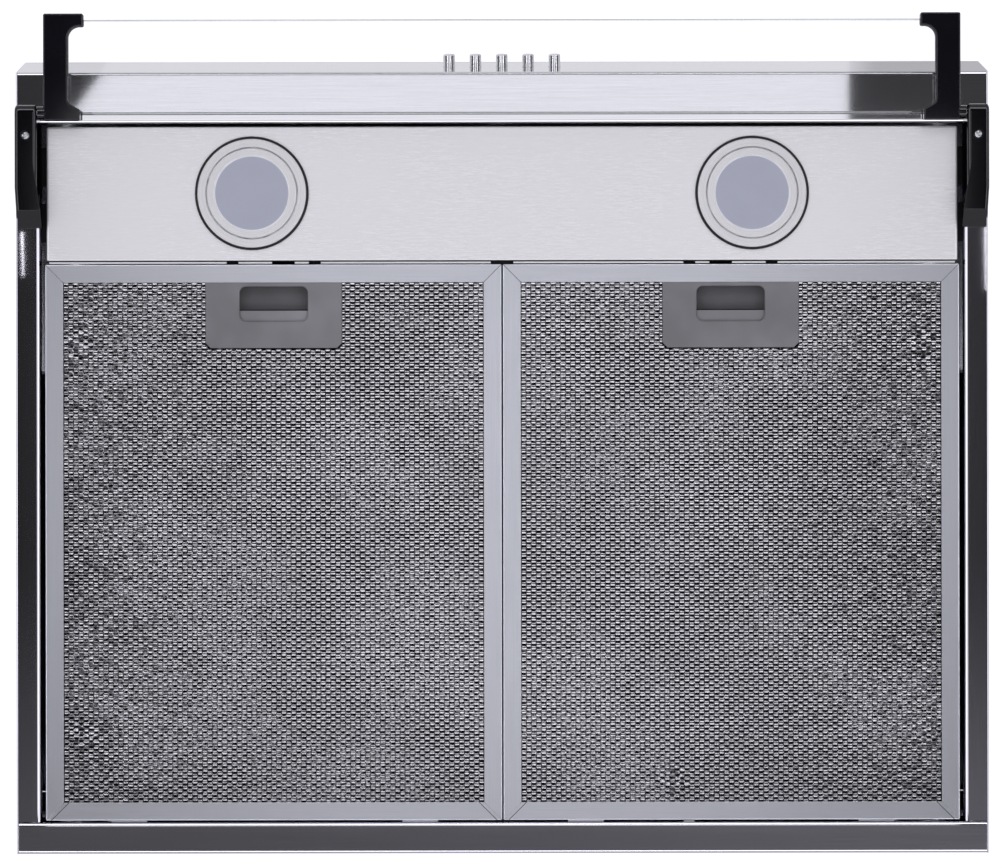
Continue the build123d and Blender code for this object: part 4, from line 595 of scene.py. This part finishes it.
# ======================================================================= meshes
def new_piece(name, vertices, faces, materials, body, face_slots=None):
    """A mesh object that rides on a body and takes the finishes it is given."""
    mesh = bpy.data.meshes.new(name)
    mesh.from_pydata(vertices, [], faces)
    for material in materials:
        mesh.materials.append(material)
    if face_slots is not None:
        mesh.polygons.foreach_set("material_index", face_slots)
    mesh.update()
    piece = bpy.data.objects.new(name, mesh)
    bpy.context.scene.collection.objects.link(piece)
    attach(piece, body)
    return piece


def prism(outline, low, high, first=0):
    """Vertices and faces of an upright prism over an outline."""
    count = len(outline)
    vertices = [(x, y, low) for x, y in outline] + [(x, y, high) for x, y in outline]
    bottom = [first + index for index in reversed(range(count))]
    top = [first + count + index for index in range(count)]
    walls = []
    for index in range(count):
        after = (index + 1) % count
        walls.append([first + index, first + after, first + count + after, first + count + index])
    return vertices, [bottom, top] + walls


def strands(window, notch, face_z, seed, first=0):
    """Expanded metal: zigzag rows of four-sided strands that meet in creased knots.

    Gives vertices, faces and the faces' material slots."""
    (x0, y0), (x1, y1) = window
    (n0, _), (n1, n_rear) = notch
    columns = int((x1 - x0) / CELL_HALF_WIDTH) - 1
    start_x = (x0 + x1 - columns * CELL_HALF_WIDTH) / 2
    ahead = int((n_rear - y0) / ROW_PITCH)
    start_y = n_rear - KNOT_HIGH[0] - ahead * ROW_PITCH
    rows = int((y1 - start_y - KNOT_LOW[1]) / ROW_PITCH) + 1
    chance = np.random.default_rng(seed)
    jitter = chance.uniform(-1, 1, (rows, 2 * columns + 2, 3)) * KNOT_JITTER
    face = face_z + KNOT_JITTER
    vertices = []
    faces = []
    slots = []
    for row in range(rows):
        y = start_y + row * ROW_PITCH
        stations = []
        for column in range(columns + 1):
            high = (row + column) % 2 == 0
            upper, lower = KNOT_HIGH if high else KNOT_LOW
            half = KNOT_HIGH_HALF if high else KNOT_LOW_HALF
            tilt = KNOT_HIGH_TILT if high else KNOT_LOW_TILT
            middle = start_x + column * CELL_HALF_WIDTH
            crushed = any(math.hypot(middle - a, y - b) < CRUSHED_RADIUS for a, b in CRUSHED)
            for end in (0, 1):
                shake = jitter[row, 2 * column + end] * (CRUSHED_JITTER if crushed else 1.0)
                x = middle + (half if end else -half) + shake[0]
                stations.append((x, upper, lower, tilt + shake[1], shake[2], ARM_SLOT if end else KNOT_SLOT))
        corner = CORNER_FILL if row == ahead - 1 else 0.0
        for low, high in ([(x0, n0 + corner), (n1 - corner, x1)] if row < ahead else [(x0, x1)]):
            before = None
            for station in clipped(stations, low, high):
                x, upper, lower, tilt, lift, slot = station
                here = first + len(vertices)
                crease = upper + (lower - upper) * KNOT_CREASE
                vertices.append((x, y + upper, max(face_z, face + tilt)))
                vertices.append((x, y + crease, max(face_z, face + lift)))
                vertices.append((x, y + lower, max(face_z, face + lift)))
                vertices.append((x, y + crease, face_z + STRAND_BACK + abs(tilt) / 2))
                if before is None:
                    faces.append((here, here + 1, here + 2, here + 3))
                    slots.append(ARM_SLOT)
                else:
                    for side in range(4):
                        after = (side + 1) % 4
                        faces.append((before + side, here + side, here + after, before + after))
                        slots.append(slot_before if side == KNOT_SIDE else ARM_SLOT)
                before = here
                slot_before = slot
            faces.append((before + 3, before + 2, before + 1, before))
            slots.append(ARM_SLOT)
    return vertices, faces, slots


def clipped(stations, low, high):
    """The stations of a strand between two limits in X, cut exactly at the limits."""
    kept = []
    for here, after in zip(stations, stations[1:]):
        for limit in (low, high):
            if here[0] < limit < after[0]:
                share = (limit - here[0]) / (after[0] - here[0])
                cut = [a + (b - a) * share for a, b in zip(here[:-1], after[:-1])]
                kept.append((*cut, here[-1]))
        if low <= after[0] <= high:
            kept.append(after)
    if low <= stations[0][0] <= high:
        kept.insert(0, stations[0])
    return kept


def notched(window, notch):
    """The outline of a sheet with the handle's notch in its front edge."""
    (x0, y0), (x1, y1) = window
    (n0, _), (n1, n_rear) = notch
    return [(x0, y0), (n0, y0), (n0, n_rear), (n1, n_rear), (n1, y0), (x1, y0), (x1, y1), (x0, y1)]


# Lit and shaded copies of one aluminium: a bright copy on the knots as painted highlight, a dark copy on the
# arms as painted shade.
knot_painted_highlight = crimped("mesh_knots_painted_highlight", (0.97, 0.965, 0.99), 0.25)
arm_painted_shade = crimped("mesh_arms_painted_shade", (0.245, 0.243, 0.26), 0.6)
layer_finish = inner_layers("mesh_layers")
for side in ("left", "right"):
    frame_lo, frame_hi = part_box(f"filter_frame_{side}")
    mesh_lo, mesh_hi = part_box(f"filter_mesh_{side}")
    handle_lo, handle_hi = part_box(f"filter_handle_{side}")
    reach = FRAME_RAIL - RAIL_OVERLAP
    frame_rear = mesh_hi.y + (mesh_lo.x - frame_lo.x)
    window = (
        (frame_lo.x + reach, frame_lo.y + reach),
        (frame_hi.x - reach, frame_rear - reach),
    )
    notch = (
        (handle_lo.x - NOTCH_CLEARANCE, frame_lo.y),
        (handle_hi.x + NOTCH_CLEARANCE, handle_hi.y + NOTCH_CLEARANCE),
    )
    vertices, faces, face_slots = strands(window, notch, mesh_lo.z, MESH_SEEDS[side])
    # Two flat sheets behind the strands stand in for the deeper layers, with painted shadow and painted
    # glints.
    for low in (mesh_lo.z + LAYER_DEPTH, mesh_hi.z - LAYER_THICKNESS):
        sheet, sheet_faces = prism(notched(window, notch), low, low + LAYER_THICKNESS, len(vertices))
        vertices += sheet
        faces += sheet_faces
        face_slots += [LAYER_SLOT] * len(sheet_faces)
    piece = new_piece(
        f"expanded_mesh_{side}", vertices, faces, [knot_painted_highlight, arm_painted_shade, layer_finish],
        f"filter_{side}", face_slots,
    )
    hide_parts(f"filter_mesh_{side}")


def pan_head(centre, face_z, top_z, first):
    """A screw seen from below: domed head with a cross recess, and its shank up to top_z."""
    x, y = centre
    vertices = []
    faces = []
    profile = [(CROSS_WIDTH, CROSS_DEPTH), (CROSS_LENGTH, RECESS_RIM)]
    profile += [(HEAD_RADIUS * share, depth) for share, depth in DOME]
    profile += [(HEAD_RADIUS, HEAD_HEIGHT), (SHANK_RADIUS, HEAD_HEIGHT), (SHANK_RADIUS, top_z - face_z)]
    rings = []
    for radius, depth in profile:
        ring = []
        for step in range(HEAD_SEGMENTS):
            angle = 2 * math.pi * step / HEAD_SEGMENTS
            here = radius
            if radius == CROSS_LENGTH:
                arm = 1.0 - abs(math.sin(2 * angle))
                here = CROSS_WIDTH + (CROSS_LENGTH - CROSS_WIDTH) * arm ** CROSS_SHARPNESS
                here = max(here, CROSS_WIDTH * CROSS_WAIST)
            ring.append(first + len(vertices))
            vertices.append((x + here * math.cos(angle), y + here * math.sin(angle), face_z + depth))
        rings.append(ring)
    floor = first + len(vertices)
    vertices.append((x, y, face_z + CROSS_DEPTH))
    cap = first + len(vertices)
    vertices.append((x, y, top_z))
    for step in range(HEAD_SEGMENTS):
        after = (step + 1) % HEAD_SEGMENTS
        faces.append((floor, rings[0][step], rings[0][after]))
        faces.append((cap, rings[-1][after], rings[-1][step]))
        for inner, outer in zip(rings, rings[1:]):
            faces.append((inner[step], outer[step], outer[after], inner[after]))
    return vertices, faces


screw_lo, screw_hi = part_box("hinge_screws")
screw_y = (screw_lo.y + screw_hi.y) / 2
vertices = []
faces = []
for screw_x in (screw_lo.x + HEAD_RADIUS, screw_hi.x - HEAD_RADIUS):
    head, head_faces = pan_head((screw_x, screw_y), screw_lo.z, screw_hi.z, len(vertices))
    vertices += head
    faces += head_faces
screws = new_piece("cross_head_screws", vertices, faces, [screw_steel], "canopy")
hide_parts("hinge_screws")


# ======================================================================= studio
def world_light():
    """White for the camera. For the hood an upper half with a grey patch. The lower half has a dark
    base, a bright ring, haze from under the ring upwards and a glow near the horizon."""
    world = bpy.data.worlds.new("studio")
    bpy.context.scene.world = world
    world.use_nodes = True
    tree = world.node_tree
    tree.nodes.clear()

    def node(kind, *links, **settings):
        made = tree.nodes.new(kind)
        for name, value in settings.items():
            setattr(made, name, value)
        for socket, source in links:
            if isinstance(source, bpy.types.NodeSocket):
                tree.links.new(source, made.inputs[socket])
            else:
                made.inputs[socket].default_value = source
        return made.outputs[0]

    def step(value, low, high, out_low, out_high):
        return node(
            "ShaderNodeMapRange", ("Value", value), ("From Min", low), ("From Max", high),
            ("To Min", out_low), ("To Max", out_high), interpolation_type="SMOOTHSTEP",
        )

    def calc(operation, first, second):
        return node("ShaderNodeMath", (0, first), (1, second), operation=operation)

    coordinates = tree.nodes.new("ShaderNodeTexCoord")
    axes = tree.nodes.new("ShaderNodeSeparateXYZ")
    tree.links.new(coordinates.outputs["Generated"], axes.inputs[0])
    x, y, z = axes.outputs
    upper = step(z, *HORIZON)
    ring = calc("MULTIPLY", step(z, *RING_BOTTOM), step(z, *RING_TOP))
    ring = calc("ADD", ring, step(z, *HAZE))
    ring = calc("ADD", ring, step(z, *LOW_GLOW))
    below = calc("MULTIPLY", ring, step(y, *FRONT_TO_REAR))
    base = calc("MULTIPLY", step(y, *BASE_TO_REAR), step(x, *BASE_TO_RIGHT))
    below = calc("ADD", below, calc("ADD", base, step(y, *BASE_FRONT)))
    grey_patch = calc("MULTIPLY", step(x, *PATCH_RIGHT), step(y, *PATCH_FRONT))
    above = calc("SUBTRACT", step(y, *ABOVE), calc("MULTIPLY", grey_patch, PATCH_DEPTH))
    upper_half = calc("MULTIPLY", upper, above)
    lower_half = calc("MULTIPLY", calc("SUBTRACT", 1.0, upper), below)
    both_halves = calc("ADD", upper_half, lower_half)
    ray = tree.nodes.new("ShaderNodeLightPath")
    backdrop = calc("MULTIPLY", ray.outputs["Is Camera Ray"], BACKDROP)
    seen = calc("MAXIMUM", backdrop, both_halves)
    background = tree.nodes.new("ShaderNodeBackground")
    background.inputs["Color"].default_value = SKY_TINT
    tree.links.new(seen, background.inputs["Strength"])
    output = tree.nodes.new("ShaderNodeOutputWorld")
    tree.links.new(background.outputs[0], output.inputs["Surface"])


def emitter(name, outline, z, strength):
    """A flat glowing panel that shines upwards and that the camera doesn't see."""
    material = bpy.data.materials.new(name)
    material.use_nodes = True
    tree = material.node_tree
    tree.nodes.clear()
    glow = tree.nodes.new("ShaderNodeEmission")
    glow.inputs["Color"].default_value = SKY_TINT
    glow.inputs["Strength"].default_value = strength
    output = tree.nodes.new("ShaderNodeOutputMaterial")
    tree.links.new(glow.outputs[0], output.inputs["Surface"])
    mesh = bpy.data.meshes.new(name)
    mesh.from_pydata([(x, y, z) for x, y in outline], [], [list(range(len(outline)))])
    mesh.materials.append(material)
    panel = bpy.data.objects.new(name, mesh)
    panel.visible_camera = False
    panel.visible_shadow = False
    bpy.context.scene.collection.objects.link(panel)


def floor():
    """A plain pale floor far below the camera. Reflections and bounced light pass through it."""
    shader = Shader("floor_paint", (0.82, 0.82, 0.81), 0.0, 0.6)
    cloud = shader.noise(FLOOR_CLOUDS)
    shader.roughness(shader.between(cloud, 0.5, 0.7))
    half = FLOOR_HALF
    mesh = bpy.data.meshes.new("floor")
    corners = [(-half, -half), (half, -half), (half, half), (-half, half)]
    mesh.from_pydata([(x, y, FLOOR_Z) for x, y in corners], [], [[0, 1, 2, 3]])
    mesh.materials.append(shader.material)
    plane = bpy.data.objects.new("floor", mesh)
    plane.visible_glossy = False
    plane.visible_diffuse = False
    bpy.context.scene.collection.objects.link(plane)


world_light()
floor()
emitter("softbox", SOFTBOX_OUTLINE, UNDERSIDE_Z - SOFTBOX_DROP, SOFTBOX_STRENGTH)
for number, outline in enumerate(GLEAMS, 1):
    emitter(f"gleam_{number}", outline, UNDERSIDE_Z - SOFTBOX_DROP, GLEAM_STRENGTH)
bpy.context.scene.view_settings.view_transform = "Standard"

camera_data = bpy.data.cameras.new("camera")
camera_data.sensor_width = SENSOR_WIDTH
camera_data.lens = SENSOR_WIDTH * CAMERA_DISTANCE / (PICTURE_WIDTH * PIXEL_SIZE)
camera_data.clip_end = CLIP_END
camera = bpy.data.objects.new("camera", camera_data)
camera.location = (CAMERA_X, CAMERA_Y, UNDERSIDE_Z - CAMERA_DISTANCE)
camera.rotation_euler = (math.pi, 0, CAMERA_ROLL)
bpy.context.scene.collection.objects.link(camera)
bpy.context.scene.camera = camera
